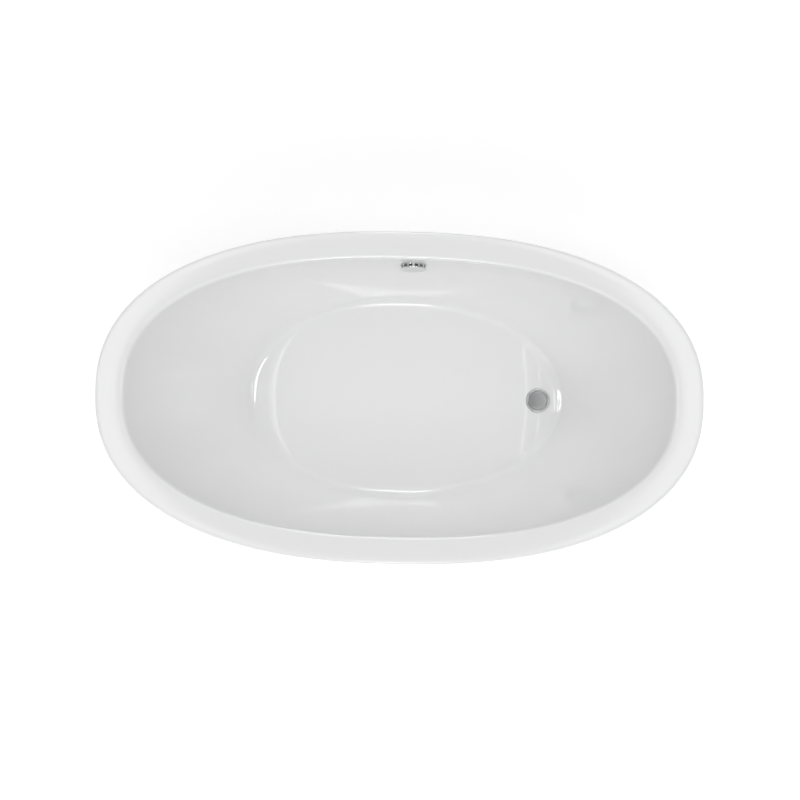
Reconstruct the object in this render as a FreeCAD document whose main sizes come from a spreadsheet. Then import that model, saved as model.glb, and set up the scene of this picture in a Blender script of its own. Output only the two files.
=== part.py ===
"""Oval freestanding bathtub: a double-walled acrylic tub on a steel frame, with its waste and overflow.

Millimetres, +Z up, +X towards the drain end. The origin is on the floor under the middle of the rim.
Every driving size is a cell of the spreadsheet Size; the rest is worked out from those cells.
"""

import FreeCAD, Part
import math
import os
import Sketcher
from FreeCAD import Placement, Rotation, Vector

DRIVING_SIZES = (
    # Rim and shells
    ("overall_length", 1676), ("overall_width", 916), ("overall_height", 585),
    ("rim_width", 76), ("rim_shape", 2.33), ("opening_shape", 2.36),
    ("lip_drop", 40), ("lip_wall", 6), ("rim_edge_radius", 10), ("opening_edge_radius", 12),
    ("side_wall", 6.2), ("end_wall", 7.5), ("floor_thickness", 14),
    # Bathing well: the crease is where the walls meet the dished floor
    ("floor_level", 160), ("well_depth_share", 0.6), ("well_shift", 30), ("crease_rise", 20),
    ("crease_left", 445), ("crease_right", 501), ("crease_half_width", 295),
    ("crease_shape_left", 2.3), ("crease_shape_right", 1.95),
    ("floor_left", 341), ("floor_right", 480), ("floor_half_width", 272),
    ("floor_shape_left", 3.1), ("floor_shape_right", 2.1), ("underside_grow", 8),
    ("sump_edge", 373), ("sump_depth", 7), ("sump_run", 45), ("sump_bow", 960),
    # Outer skirt
    ("skirt_wall", 5), ("skirt_gap", 2), ("skirt_base_length", 1200), ("skirt_base_width", 690),
    ("skirt_clearance", 4), ("skirt_flange", 30), ("skirt_flange_thickness", 6), ("skirt_neck", 30),
    ("skirt_depth_share", 0.45), ("bead_start", 6), ("bead_height", 20),
    # Floor board and frame
    ("board_thickness", 16), ("board_left", 335), ("board_right", 350), ("board_half_width", 262),
    ("tube_size", 30), ("tube_wall", 2.5), ("rail_length", 940), ("rail_offset", 190),
    ("crossbar_spacing", 300), ("cap_flange", 3), ("cap_plug", 15),
    ("stay_offset", 250), ("stay_width", 30), ("stay_thickness", 3), ("stay_drop", 91), ("stay_tab", 109),
    ("screw_radius", 2.5), ("screw_spacing", 200), ("screw_bite", 11),
    # Levelling feet
    ("foot_spacing", 400), ("stud_radius", 6), ("stud_clearance", 0.1), ("weld_nut_height", 10),
    ("lock_nut_height", 8), ("nut_across_corners", 20.8), ("pad_radius", 30), ("pad_height", 14),
    ("pad_socket_floor", 5), ("collar_height", 8), ("collar_level", 22), ("stud_top", 118),
    # Waste
    ("drain_x", 411), ("flange_radius", 35.5), ("flange_height", 3), ("mouth_radius", 27.2),
    ("barrel_radius", 22), ("barrel_bore", 19.5), ("barrel_length", 36), ("seal_thickness", 1),
    ("gasket_thickness", 3), ("hub_radius", 9), ("cartridge_radius", 6.5), ("stem_radius", 4),
    ("stopper_radius", 26), ("stopper_thickness", 4), ("stopper_travel", 10),
    ("chamber_radius", 29), ("chamber_wall", 3), ("chamber_bottom", 52), ("inlet_level", 76),
    ("tailpiece_radius", 19.05), ("tailpiece_wall", 1.5), ("tailpiece_end", 10),
    # Overflow
    ("overflow_x", 32), ("overflow_level", 505), ("overflow_radius", 35.5), ("overflow_stand", 13),
    ("overflow_hole", 23), ("insert_bore", 19), ("elbow_radius", 25), ("elbow_depth", 42),
    ("overflow_wall", 4), ("overflow_face", 3.5), ("window_width", 10.5), ("window_height", 6),
    ("overflow_gasket", 34), ("spigot_radius", 16), ("spigot_wall", 3), ("spigot_low", 452),
    ("hose_radius", 15), ("hose_bore", 12.5), ("hose_nut_length", 26), ("hose_nut_grip", 16),
)
SECTION_POINTS = 40
SHELL_SECTIONS = 7

os.makedirs("parts", exist_ok=True)
doc = FreeCAD.newDocument("Bathtub")
sheet = doc.addObject("Spreadsheet::Sheet", "Size")
for row, (alias, number) in enumerate(DRIVING_SIZES, start=1):
    sheet.set("A%d" % row, str(number))
    sheet.setAlias("A%d" % row, alias)
doc.recompute()
subparts = []


def size(expression):
    """The number that a sheet expression, such as Size.rim_width / 2, comes to."""
    return float(sheet.evalExpression(expression))


# --------------------------------------------------------------------------- makers


def keep(item, label):
    """Marks a document object as a sub-part; its label names its file."""
    item.Label = label
    subparts.append(item)
    return item


def shaped(label, shape, kept=True):
    """A Part::Feature for a free-form piece, with its sizes already read from the sheet."""
    item = doc.addObject("Part::Feature", label)
    item.Shape = shape
    return keep(item, label) if kept else item


def placed(item, x="0", y="0", z="0"):
    """Binds a piece's position to expressions."""
    item.setExpression(".Placement.Base.x", x)
    item.setExpression(".Placement.Base.y", y)
    item.setExpression(".Placement.Base.z", z)
    return item


def closed_sketch(body, name, outline):
    """A closed outline of straight lines; every corner is held by two bound dimensions."""
    sketch = body.newObject("Sketcher::SketchObject", name)
    plane = next(f for f in body.Origin.OriginFeatures if f.Role == "XZ_Plane")
    sketch.AttachmentSupport = [(plane, "")]
    sketch.MapMode = "FlatFace"
    corners = [Vector(size(across), size(up), 0) for across, up in outline]
    for i, corner in enumerate(corners):
        sketch.addGeometry(Part.LineSegment(corner, corners[(i + 1) % len(corners)]), False)
    for i in range(len(corners)):
        sketch.addConstraint(Sketcher.Constraint("Coincident", i, 2, (i + 1) % len(corners), 1))
    for i, (across, up) in enumerate(outline):
        for kind, number, text in (("DistanceX", corners[i].x, across), ("DistanceY", corners[i].y, up)):
            index = sketch.addConstraint(Sketcher.Constraint(kind, i, 1, number))
            sketch.setExpression("Constraints[%d]" % index, text)
    return sketch


def turned(label, outline, kept=True):
    """A body turned about its own Z axis from (radius, height) expressions."""
    body = doc.addObject("PartDesign::Body", label)
    sketch = closed_sketch(body, label + "_outline", outline)
    turn = body.newObject("PartDesign::Revolution", label + "_turn")
    turn.Profile = sketch
    turn.ReferenceAxis = (sketch, ["V_Axis"])
    turn.Angle = 360
    return keep(body, label) if kept else body


def cylinder(radius, height, x="0", y="0", z="0"):
    item = doc.addObject("Part::Cylinder", "Cylinder")
    item.setExpression("Radius", radius)
    item.setExpression("Height", height)
    return placed(item, x, y, z)


def box(length, width, height, x, y, z):
    item = doc.addObject("Part::Box", "Box")
    item.setExpression("Length", length)
    item.setExpression("Width", width)
    item.setExpression("Height", height)
    return placed(item, x, y, z)


def hexagon(across_corners, height, z="0"):
    item = doc.addObject("Part::Prism", "Hexagon")
    item.Polygon = 6
    item.setExpression("Circumradius", across_corners + " / 2")
    item.setExpression("Height", height)
    return placed(item, "0", "0", z)


def fused(*items):
    item = doc.addObject("Part::MultiFuse", "Fuse")
    item.Shapes = list(items)
    item.Refine = True
    return item


def cut(base, *tools):
    item = doc.addObject("Part::Cut", "Cut")
    item.Base = base
    item.Tool = tools[0] if len(tools) == 1 else fused(*tools)
    return item


def oval(z, left, right, half_width, shape_left, shape_right, shift):
    """A closed superellipse at height z. Its two ends may differ in reach and in squareness."""
    points = []
    for i in range(SECTION_POINTS):
        angle = 2 * math.pi * i / SECTION_POINTS
        along, across = math.cos(angle), math.sin(angle)
        power, reach = (shape_right, right) if along > 0 else (shape_left, left)
        stretch = (abs(along) ** power + abs(across) ** power) ** (-1 / power)
        points.append(Vector(shift + reach * along * stretch, half_width * across * stretch, z))
    curve = Part.BSplineCurve()
    knots = [float(i) for i in range(SECTION_POINTS + 1)]
    curve.interpolate(Points=points, PeriodicFlag=True, Parameters=knots)
    return Part.Wire([curve.toShape()])


def rim_oval(z, inset):
    reach, half_width = size("Size.overall_length / 2") - inset, size("Size.overall_width / 2") - inset
    power = size("Size.rim_shape")
    return oval(z, reach, reach, half_width, power, power, 0)


def slab(wire, height):
    return Part.Face(wire).extrude(Vector(0, 0, height))


def loft(sections):
    solid = Part.makeLoft(sections, True, False)
    return solid if solid.Volume > 0 else solid.reversed()


# --------------------------------------------------------------------------- bathing well

RIM_TOP = size("Size.overall_height")
FLOOR = size("Size.floor_level")
CREASE = size("Size.floor_level + Size.crease_rise")


def blend(start, end, share):
    return start + (end - start) * share


def well_share(depth):
    """How far the wall has moved from the opening to the crease, at a share of the depth."""
    first = size("Size.well_depth_share")
    return first * depth + (1 - first) * depth ** 2


def well_section(depth, end_wall=0.0, side_wall=0.0):
    """A section of the well's wall; with wall thicknesses, the section of its outer face."""
    share = well_share(depth)
    shift = blend(0, size("Size.well_shift"), share)
    opening = size("Size.overall_length / 2 - Size.rim_width")
    half_opening = size("Size.overall_width / 2 - Size.rim_width")
    left = blend(opening, size("Size.crease_left + Size.well_shift"), share)
    right = blend(opening, size("Size.crease_right - Size.well_shift"), share)
    half_width = blend(half_opening, size("Size.crease_half_width"), share)
    shape_left = blend(size("Size.opening_shape"), size("Size.crease_shape_left"), share)
    shape_right = blend(size("Size.opening_shape"), size("Size.crease_shape_right"), share)
    z = blend(RIM_TOP, CREASE, depth)
    return oval(z, left + end_wall, right + end_wall, half_width + side_wall,
                shape_left, shape_right, shift)


def floor_section(z, grow):
    shift = size("Size.well_shift")
    return oval(z, size("Size.floor_left") + shift + grow, size("Size.floor_right") - shift + grow,
                size("Size.floor_half_width") + grow,
                size("Size.floor_shape_left"), size("Size.floor_shape_right"), shift)


def well_body(end_wall, side_wall, floor_z, floor_grow):
    walls = [well_section(i / (SHELL_SECTIONS - 1), end_wall, side_wall) for i in range(SHELL_SECTIONS)]
    return loft(walls).fuse(loft([walls[-1], floor_section(floor_z, floor_grow)]))


def sump():
    """The shallow fall at the drain end: an annular wedge kept inside the edge of the floor."""
    edge, depth, run, bow = (size("Size.sump_" + word) for word in ("edge", "depth", "run", "bow"))
    axis_x = edge - bow
    far = size("Size.crease_right") - axis_x
    corners = [(bow, 0), (bow + run, -depth), (far, -depth), (far, 1), (bow, 1)]
    profile = Part.makePolygon([Vector(r, 0, z) for r, z in corners + corners[:1]])
    wedge = Part.Face(profile).revolve(Vector(), Vector(0, 0, 1), 60)
    wedge.rotate(Vector(), Vector(0, 0, 1), -30)
    wedge.translate(Vector(axis_x, 0, FLOOR))
    limit = loft([floor_section(FLOOR - depth, -26), floor_section(FLOOR + 1, -4)])
    return wedge.common(limit)


def along_overflow(shape):
    """Places a shape whose +Z axis leaves the wall into the well at the overflow."""
    result = shape.copy()
    result.Placement = OVERFLOW_PLACE.multiply(result.Placement)
    return result


def wall_y(z, x):
    """The inner face of the long wall on the overflow side at height z."""
    depth = (RIM_TOP - z) / (RIM_TOP - CREASE)
    wire = well_section(depth)
    line = Part.makeLine(Vector(x, 0, z), Vector(x, 1000, z))
    return wire.distToShape(line)[1][0][0].y


OVERFLOW_X = size("Size.overflow_x")
OVERFLOW_Z = size("Size.overflow_level")
OVERFLOW_Y = wall_y(OVERFLOW_Z, OVERFLOW_X)
OVERFLOW_LEAN = math.degrees(math.atan2(wall_y(OVERFLOW_Z + 30, OVERFLOW_X)
                                        - wall_y(OVERFLOW_Z - 30, OVERFLOW_X), 60))
OVERFLOW_PLACE = Placement(Vector(OVERFLOW_X, OVERFLOW_Y, OVERFLOW_Z),
                           Rotation(Vector(1, 0, 0), 90 - OVERFLOW_LEAN))
SEAT_SINK = 1.2  # how far the flat overflow seat is sunk into the curved wall
WALL_BACK = -5.4  # the flat that is faced on the outside of the wall for the overflow gasket
SEAT_LEVEL = size("Size.floor_level - Size.sump_depth") - 1
UNDERSIDE = size("Size.floor_level - Size.floor_thickness")


def round_top_edges(shell, radius, outer):
    """Rounds the edges of the flat rim, either round the outside or round the opening."""
    edges = []
    for edge in shell.Edges:
        reach = edge.BoundBox
        flat = abs(reach.ZMin - RIM_TOP) < 0.01 and abs(reach.ZMax - RIM_TOP) < 0.01
        outside = reach.YLength > size("Size.overall_width - Size.rim_width")
        if flat and outside == outer:
            edges.append(edge)
    return shell.makeFillet(radius, edges)


def drain_hole():
    """The countersunk hole that the drain flange's throat drops into."""
    narrow, wide = size("Size.barrel_radius") + 1, size("Size.mouth_radius") + 2
    hole = Part.makeCylinder(narrow, 60, Vector(0, 0, UNDERSIDE - 40))
    slope = Part.makeCone(narrow, wide, SEAT_LEVEL - 1 - UNDERSIDE, Vector(0, 0, UNDERSIDE))
    mouth = Part.makeCylinder(wide, 5, Vector(0, 0, SEAT_LEVEL - 1))
    hole = hole.fuse([slope, mouth])
    hole.translate(Vector(size("Size.drain_x"), 0, 0))
    return hole


def basin():
    """Inner shell: flat rim with a turned-down lip, walls, dished floor, sump and its two holes."""
    lip_bottom = RIM_TOP - size("Size.lip_drop")
    lip_wall = size("Size.lip_wall")
    rim = slab(rim_oval(lip_bottom, 0), size("Size.lip_drop"))
    under_rim = slab(rim_oval(lip_bottom, lip_wall), size("Size.lip_drop") - lip_wall)
    crust = well_body(size("Size.end_wall"), size("Size.side_wall"), UNDERSIDE, size("Size.underside_grow"))
    shell = rim.cut(under_rim).fuse(crust).cut(well_body(0, 0, FLOOR, 0))
    shell = shell.cut(sump()).removeSplitter()
    shell = round_top_edges(shell, size("Size.opening_edge_radius"), outer=False)
    shell = round_top_edges(shell, size("Size.rim_edge_radius"), outer=True)
    seat = Part.makeCylinder(size("Size.flange_radius") + 1, 20, Vector(size("Size.drain_x"), 0, SEAT_LEVEL))
    hole = drain_hole()
    overflow_seat = Part.makeCylinder(size("Size.overflow_radius") + 1.5, 30, Vector(0, 0, -SEAT_SINK))
    overflow_hole = Part.makeCylinder(size("Size.overflow_hole"), 60, Vector(0, 0, -40))
    back_seat = Part.makeCylinder(size("Size.overflow_gasket") + 2, 8, Vector(0, 0, WALL_BACK - 8))
    shell = shell.cut(seat).cut(hole).cut(along_overflow(overflow_seat))
    return shell.cut(along_overflow(overflow_hole)).cut(along_overflow(back_seat))


# --------------------------------------------------------------------------- skirt

SKIRT_TOP = RIM_TOP - size("Size.lip_drop")
SKIRT_BOTTOM = size("Size.skirt_clearance")


def skirt_section(fall, inset):
    """A section of the skirt, from the underside of the lip (fall 0) to its foot (fall 1)."""
    first = size("Size.skirt_depth_share")
    share = first * fall + (1 - first) * fall ** 2
    top_inset = size("Size.lip_wall + Size.skirt_gap")
    reach = blend(size("Size.overall_length / 2") - top_inset, size("Size.skirt_base_length / 2"), share)
    half_width = blend(size("Size.overall_width / 2") - top_inset, size("Size.skirt_base_width / 2"), share)
    power = size("Size.rim_shape")
    z = blend(SKIRT_TOP, SKIRT_BOTTOM, fall)
    return oval(z, reach - inset, reach - inset, half_width - inset, power, power, 0)


def skirt():
    """Outer shell: tapering wall, a straight neck inside the lip, and an inward foot flange."""
    wall = size("Size.skirt_wall")
    neck_inset = size("Size.lip_wall + Size.skirt_gap")
    falls = [i / (SHELL_SECTIONS - 1) for i in range(SHELL_SECTIONS)]
    outside = loft([skirt_section(fall, 0) for fall in falls])
    inside = loft([skirt_section(fall, wall) for fall in falls])
    neck = slab(rim_oval(SKIRT_TOP, neck_inset), size("Size.skirt_neck"))
    neck_bore = slab(rim_oval(SKIRT_TOP, neck_inset + wall), size("Size.skirt_neck"))
    flange_top = SKIRT_BOTTOM + size("Size.skirt_flange_thickness")
    below = Part.makeBox(3000, 3000, 100, Vector(-1500, -1500, flange_top - 100))
    flange_bore = slab(skirt_section(1.0, size("Size.skirt_flange")), 40)
    shell = outside.fuse(neck).cut(inside.cut(below)).cut(neck_bore).cut(flange_bore)
    return shell.removeSplitter()


def rim_adhesive():
    """The bead of adhesive that bonds the skirt's neck into the rim's lip."""
    start, height = SKIRT_TOP + size("Size.bead_start"), size("Size.bead_height")
    bead = slab(rim_oval(start, size("Size.lip_wall")), height)
    return bead.cut(slab(rim_oval(start, size("Size.lip_wall + Size.skirt_gap")), height))


shaped("basin", basin())
shaped("skirt", skirt())
shaped("rim_adhesive", rim_adhesive())

# --------------------------------------------------------------------------- floor board and frame

BOARD_BOTTOM = UNDERSIDE - size("Size.board_thickness")
TUBE_BOTTOM = "(Size.floor_level - Size.floor_thickness - Size.board_thickness - Size.tube_size)"
SCREW_X = [step * size("Size.screw_spacing") for step in (-1, 0, 1)]
SIDES = (-1, 1)
SCREW_HEAD = 3  # height of every screw's head


def board_screw(x, y):
    """A countersunk wood screw, driven up through a rail into the floor board."""
    radius = size("Size.screw_radius")
    base = Vector(x, y, BOARD_BOTTOM - size("Size.tube_size") - SCREW_HEAD)
    head = Part.makeCone(radius + 3, radius, SCREW_HEAD, base)
    shank = Part.makeCylinder(radius, SCREW_HEAD + size("Size.tube_size + Size.screw_bite"), base)
    return head.fuse(shank).removeSplitter()


def screw_places():
    return [(x, side * size("Size.rail_offset")) for x in SCREW_X for side in SIDES]


def floor_board():
    """Reinforcing board bonded under the flat of the floor."""
    power = size("Size.floor_shape_left")
    outline = oval(BOARD_BOTTOM, size("Size.board_left"), size("Size.board_right"),
                   size("Size.board_half_width"), power, power, 0)
    board = slab(outline, size("Size.board_thickness"))
    for x, y in screw_places():
        board = board.cut(board_screw(x, y))
    return board


def square_tube(length, x, y, along_x):
    outer, wall = "Size.tube_size", "Size.tube_wall"
    inner = "(Size.tube_size - 2 * Size.tube_wall)"
    z_in = "%s + %s" % (TUBE_BOTTOM, wall)
    if along_x:
        shell = box(length, outer, outer, x, "%s - %s / 2" % (y, outer), TUBE_BOTTOM)
        bore = box(length, inner, inner, x, "%s - %s / 2" % (y, inner), z_in)
    else:
        shell = box(outer, length, outer, "%s - %s / 2" % (x, outer), y, TUBE_BOTTOM)
        bore = box(inner, length, inner, "%s - %s / 2" % (x, inner), y, z_in)
    return cut(shell, bore)


def stud_hole(x, y):
    """A clearance hole for a levelling stud through a tube's lower wall."""
    return cylinder("Size.stud_radius + 0.5", "Size.tube_wall + 2", x, y, TUBE_BOTTOM + " - 1")


def screw_hole(x, y):
    """A hole for a board screw, right through a rail."""
    return cylinder("Size.screw_radius", "Size.tube_size", "%g" % x, y, TUBE_BOTTOM)


shaped("floor_board", floor_board())
for name, side in (("rail_front", "-"), ("rail_back", "")):
    y = side + "Size.rail_offset"
    holes = [stud_hole(sign + "Size.foot_spacing", y) for sign in ("-", "")]
    holes += [screw_hole(x, y) for x in SCREW_X]
    rail = square_tube("Size.rail_length", "-Size.rail_length / 2", y, along_x=True)
    keep(cut(rail, *holes), name)

CROSSBAR_LENGTH = "(2 * Size.rail_offset - Size.tube_size)"
for name, x in (("crossbar_head", "-Size.crossbar_spacing"), ("crossbar_middle", "0"),
                ("crossbar_foot", "Size.crossbar_spacing")):
    bar = square_tube(CROSSBAR_LENGTH, x, "-%s / 2" % CROSSBAR_LENGTH, along_x=False)
    keep(cut(bar, stud_hole("0", "0")) if name == "crossbar_middle" else bar, name)


def end_cap(sign_x, sign_y):
    """A plastic plug for the open end of a rail."""
    tube, wall = size("Size.tube_size"), size("Size.tube_wall")
    flange, plug = size("Size.cap_flange"), size("Size.cap_plug")
    half, bottom = size("Size.rail_length / 2"), size(TUBE_BOTTOM)
    inner = tube - 2 * wall
    y = sign_y * size("Size.rail_offset")
    plate_start = half if sign_x > 0 else -half - flange
    plate = Part.makeBox(flange, tube, tube, Vector(plate_start, y - tube / 2, bottom))
    block_start = half - plug if sign_x > 0 else -half
    block = Part.makeBox(plug, inner, inner, Vector(block_start, y - inner / 2, bottom + wall))
    return plate.fuse(block)


def compound(label, shapes):
    """Identical pieces that share one node, each a solid of its own."""
    return shaped(label, Part.makeCompound(shapes))


compound("rail_end_caps", [end_cap(sx, sy) for sx in SIDES for sy in SIDES])
compound("board_screws", [board_screw(x, y) for x, y in screw_places()])

STAY_WIDTH = size("Size.stay_width")
STAY_THICKNESS = size("Size.stay_thickness")
RAIL_FACE = size("Size.rail_offset + Size.tube_size / 2")
FLANGE_TOP_LEVEL = SKIRT_BOTTOM + size("Size.skirt_flange_thickness")


def stay(x, side):
    """A bent strap from a rail's outer face down to the skirt's foot flange."""
    t, foot = STAY_THICKNESS, FLANGE_TOP_LEVEL
    top, shelf = BOARD_BOTTOM - 3, BOARD_BOTTOM - size("Size.tube_size") + 2
    drop, tab = RAIL_FACE + size("Size.stay_drop"), RAIL_FACE + size("Size.stay_tab")
    corners = [(RAIL_FACE, top), (RAIL_FACE + t, top), (RAIL_FACE + t, shelf + t), (drop + t, shelf + t),
               (drop + t, foot + t), (tab, foot + t), (tab, foot),
               (drop, foot), (drop, shelf), (RAIL_FACE, shelf)]
    profile = Part.makePolygon([Vector(x - STAY_WIDTH / 2, side * y, z) for y, z in corners + corners[:1]])
    strap = Part.Face(profile).extrude(Vector(STAY_WIDTH, 0, 0))
    for hole in stay_screws_at(x, side):
        strap = strap.cut(hole)
    return strap


def stay_screws_at(x, side):
    """One screw into the rail's outer wall and one into the skirt's foot flange."""
    t, wall, radius = STAY_THICKNESS, size("Size.tube_wall"), size("Size.screw_radius")
    mid = BOARD_BOTTOM - size("Size.tube_size") / 2
    out = Vector(0, side, 0)
    head = Part.makeCylinder(2 * radius, SCREW_HEAD, Vector(x, side * (RAIL_FACE + t), mid), out)
    shank = Part.makeCylinder(radius, t + wall, Vector(x, side * (RAIL_FACE - wall), mid), out)
    tab_y = side * (RAIL_FACE + size("(Size.stay_drop + Size.stay_thickness + Size.stay_tab) / 2") + 1)
    bite = size("Size.skirt_flange_thickness") - 2
    low_head = Part.makeCylinder(radius + 2, SCREW_HEAD, Vector(x, tab_y, FLANGE_TOP_LEVEL + t))
    low_shank = Part.makeCylinder(radius, t + bite, Vector(x, tab_y, FLANGE_TOP_LEVEL - bite))
    return [head.fuse(shank).removeSplitter(), low_head.fuse(low_shank).removeSplitter()]


stay_places = [(end * size("Size.stay_offset"), side) for end in SIDES for side in SIDES]
stay_screws = [screw for x, side in stay_places for screw in stay_screws_at(x, side)]
compound("skirt_stays", [stay(x, side) for x, side in stay_places])
compound("stay_screws", stay_screws)
for item in subparts:
    if item.Label in ("rail_front", "rail_back", "skirt"):
        tool = shaped("stay_holes_" + item.Label, Part.makeCompound(stay_screws), kept=False)
        drilled = cut(item, tool)
        name = item.Label
        item.Label = name + "_plain"
        drilled.Label = name
        subparts[subparts.index(item)] = drilled

# --------------------------------------------------------------------------- levelling feet

foot_places = [("-Size.foot_spacing", "-Size.rail_offset"), ("Size.foot_spacing", "-Size.rail_offset"),
               ("-Size.foot_spacing", "Size.rail_offset"), ("Size.foot_spacing", "Size.rail_offset"),
               ("0", "0")]
STUD_BORE = "Size.stud_radius + Size.stud_clearance"
PAD_SOCKET = "Size.stud_radius + 0.2"


def nut(height, z):
    blank = hexagon("Size.nut_across_corners", height, z)
    return cut(blank, cylinder(STUD_BORE, height, "0", "0", z))


weld_nuts = []
for number, (x, y) in enumerate(foot_places, start=1):
    pad = turned("foot_%d_pad" % number, [
        ("0", "0"), ("Size.pad_radius", "0"), ("Size.pad_radius", "5"),
        ("Size.pad_radius - 4", "8"), ("Size.pad_radius / 2 + 1", "Size.pad_height"),
        (PAD_SOCKET, "Size.pad_height"), (PAD_SOCKET, "Size.pad_socket_floor"),
        ("0", "Size.pad_socket_floor")])
    placed(pad, x, y)
    stud_height = "Size.stud_top - Size.pad_socket_floor"
    stud = cylinder("Size.stud_radius", stud_height, "0", "0", "Size.pad_socket_floor")
    stud = fused(stud, hexagon("Size.nut_across_corners - 1", "Size.collar_height", "Size.collar_level"))
    placed(keep(stud, "foot_%d_stud" % number), x, y)
    lock_z = TUBE_BOTTOM + " - Size.weld_nut_height - Size.lock_nut_height"
    placed(keep(nut("Size.lock_nut_height", lock_z), "foot_%d_lock_nut" % number), x, y)
    weld_nuts.append(placed(nut("Size.weld_nut_height", TUBE_BOTTOM + " - Size.weld_nut_height"), x, y))
nuts = doc.addObject("Part::Compound", "WeldNuts")
nuts.Links = weld_nuts
keep(nuts, "weld_nuts")

# --------------------------------------------------------------------------- waste

SEAT = "(Size.floor_level - Size.sump_depth - 1)"
FLANGE_UNDER = "(%s + Size.seal_thickness)" % SEAT
FLANGE_TOP = "(%s + Size.flange_height)" % FLANGE_UNDER
BASIN_UNDER = "(Size.floor_level - Size.floor_thickness)"
GASKET_BOTTOM = "(%s - Size.gasket_thickness)" % BASIN_UNDER
BARREL_BOTTOM = "(%s - Size.barrel_length)" % FLANGE_UNDER
SPIDER_TOP = "(%s + 12)" % BARREL_BOTTOM
SPIDER_BOTTOM = "(%s + 6)" % BARREL_BOTTOM
THROAT = "(%s - 6)" % FLANGE_UNDER


def at_drain(item):
    return placed(item, "Size.drain_x")


def drain_flange():
    """Chromed flange, its threaded barrel, and the four-arm spider that carries the cartridge."""
    ring = turned("drain_ring", [
        ("Size.barrel_bore", BARREL_BOTTOM), ("Size.barrel_radius", BARREL_BOTTOM),
        ("Size.barrel_radius", THROAT + " - 1"), ("Size.mouth_radius + 1.4", FLANGE_UNDER + " - 2"),
        ("Size.mouth_radius + 1.4", FLANGE_UNDER), ("Size.flange_radius", FLANGE_UNDER),
        ("Size.flange_radius", FLANGE_UNDER + " + 0.8"), ("Size.flange_radius - 3", FLANGE_TOP),
        ("Size.mouth_radius + 1", FLANGE_TOP), ("Size.mouth_radius", FLANGE_TOP + " - 1"),
        ("Size.mouth_radius - 0.4", FLANGE_UNDER + " - 1.5"),
        ("Size.barrel_bore", THROAT)], kept=False)
    hub = cylinder("Size.hub_radius", "6", "0", "0", SPIDER_BOTTOM)
    arms = [box("2 * Size.barrel_bore + 2", "3", "6", "-Size.barrel_bore - 1", "-1.5", SPIDER_BOTTOM),
            box("3", "2 * Size.barrel_bore + 2", "6", "-1.5", "-Size.barrel_bore - 1", SPIDER_BOTTOM)]
    bore = cylinder("Size.cartridge_radius", "10", "0", "0", SPIDER_BOTTOM + " - 2")
    return at_drain(keep(cut(fused(ring, hub, *arms), bore), "drain_flange"))


drain_flange()
at_drain(turned("flange_seal", [
    ("Size.mouth_radius + 2", SEAT), ("Size.flange_radius - 1", SEAT),
    ("Size.flange_radius - 1", FLANGE_UNDER), ("Size.mouth_radius + 2", FLANGE_UNDER)]))
at_drain(turned("drain_gasket", [
    ("Size.barrel_radius + 1", GASKET_BOTTOM), ("Size.chamber_radius + 6", GASKET_BOTTOM),
    ("Size.chamber_radius + 6", BASIN_UNDER), ("Size.barrel_radius + 1", BASIN_UNDER)]))

INLET_TURN = 135.0  # degrees from +X towards +Y
INLET_REACH = 52
SPOUT_LENGTH = 14
CHAMBER_FLANGE = 4


def along_inlet(shape):
    """Turns a shape whose +X axis leaves the chamber towards the side inlet."""
    shape.rotate(Vector(), Vector(0, 0, 1), INLET_TURN)
    shape.translate(Vector(size("Size.drain_x"), 0, size("Size.inlet_level")))
    return shape


def drain_body():
    """Plastic chamber under the floor, with a side inlet for the overflow and a neck below."""
    radius, wall = size("Size.chamber_radius"), size("Size.chamber_wall")
    top, bottom = size(GASKET_BOTTOM), size("Size.chamber_bottom")
    barrel = size("Size.barrel_radius")
    neck = size("Size.tailpiece_radius")
    flange = Part.makeCylinder(radius + 6, CHAMBER_FLANGE, Vector(0, 0, top - CHAMBER_FLANGE))
    chamber = Part.makeCylinder(radius, top - bottom, Vector(0, 0, bottom))
    spout = Part.makeCylinder(neck + 3.5, SPOUT_LENGTH, Vector(0, 0, bottom - SPOUT_LENGTH))
    pipe, along = size("Size.spigot_radius"), Vector(1, 0, 0)
    pipe_bore = size("Size.spigot_radius - Size.spigot_wall")
    inlet = along_inlet(Part.makeCylinder(pipe, INLET_REACH, Vector(), along))
    inlet_bore = along_inlet(Part.makeCylinder(pipe_bore, INLET_REACH + 1, Vector(), along))
    collar = Part.makeCylinder(barrel, top - size(BARREL_BOTTOM) + 1, Vector(0, 0, size(BARREL_BOTTOM)))
    room = Part.makeCylinder(radius - wall, size(BARREL_BOTTOM) - bottom - wall,
                             Vector(0, 0, bottom + wall))
    outlet = Part.makeCylinder(neck, SPOUT_LENGTH + wall + 2, Vector(0, 0, bottom - SPOUT_LENGTH - 1))
    at_axis = Vector(size("Size.drain_x"), 0, 0)
    body = flange.fuse([chamber, spout])
    hollow = collar.fuse([room, outlet])
    body.translate(at_axis)
    hollow.translate(at_axis)
    return body.fuse(inlet).cut(hollow).cut(inlet_bore).removeSplitter()


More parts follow.
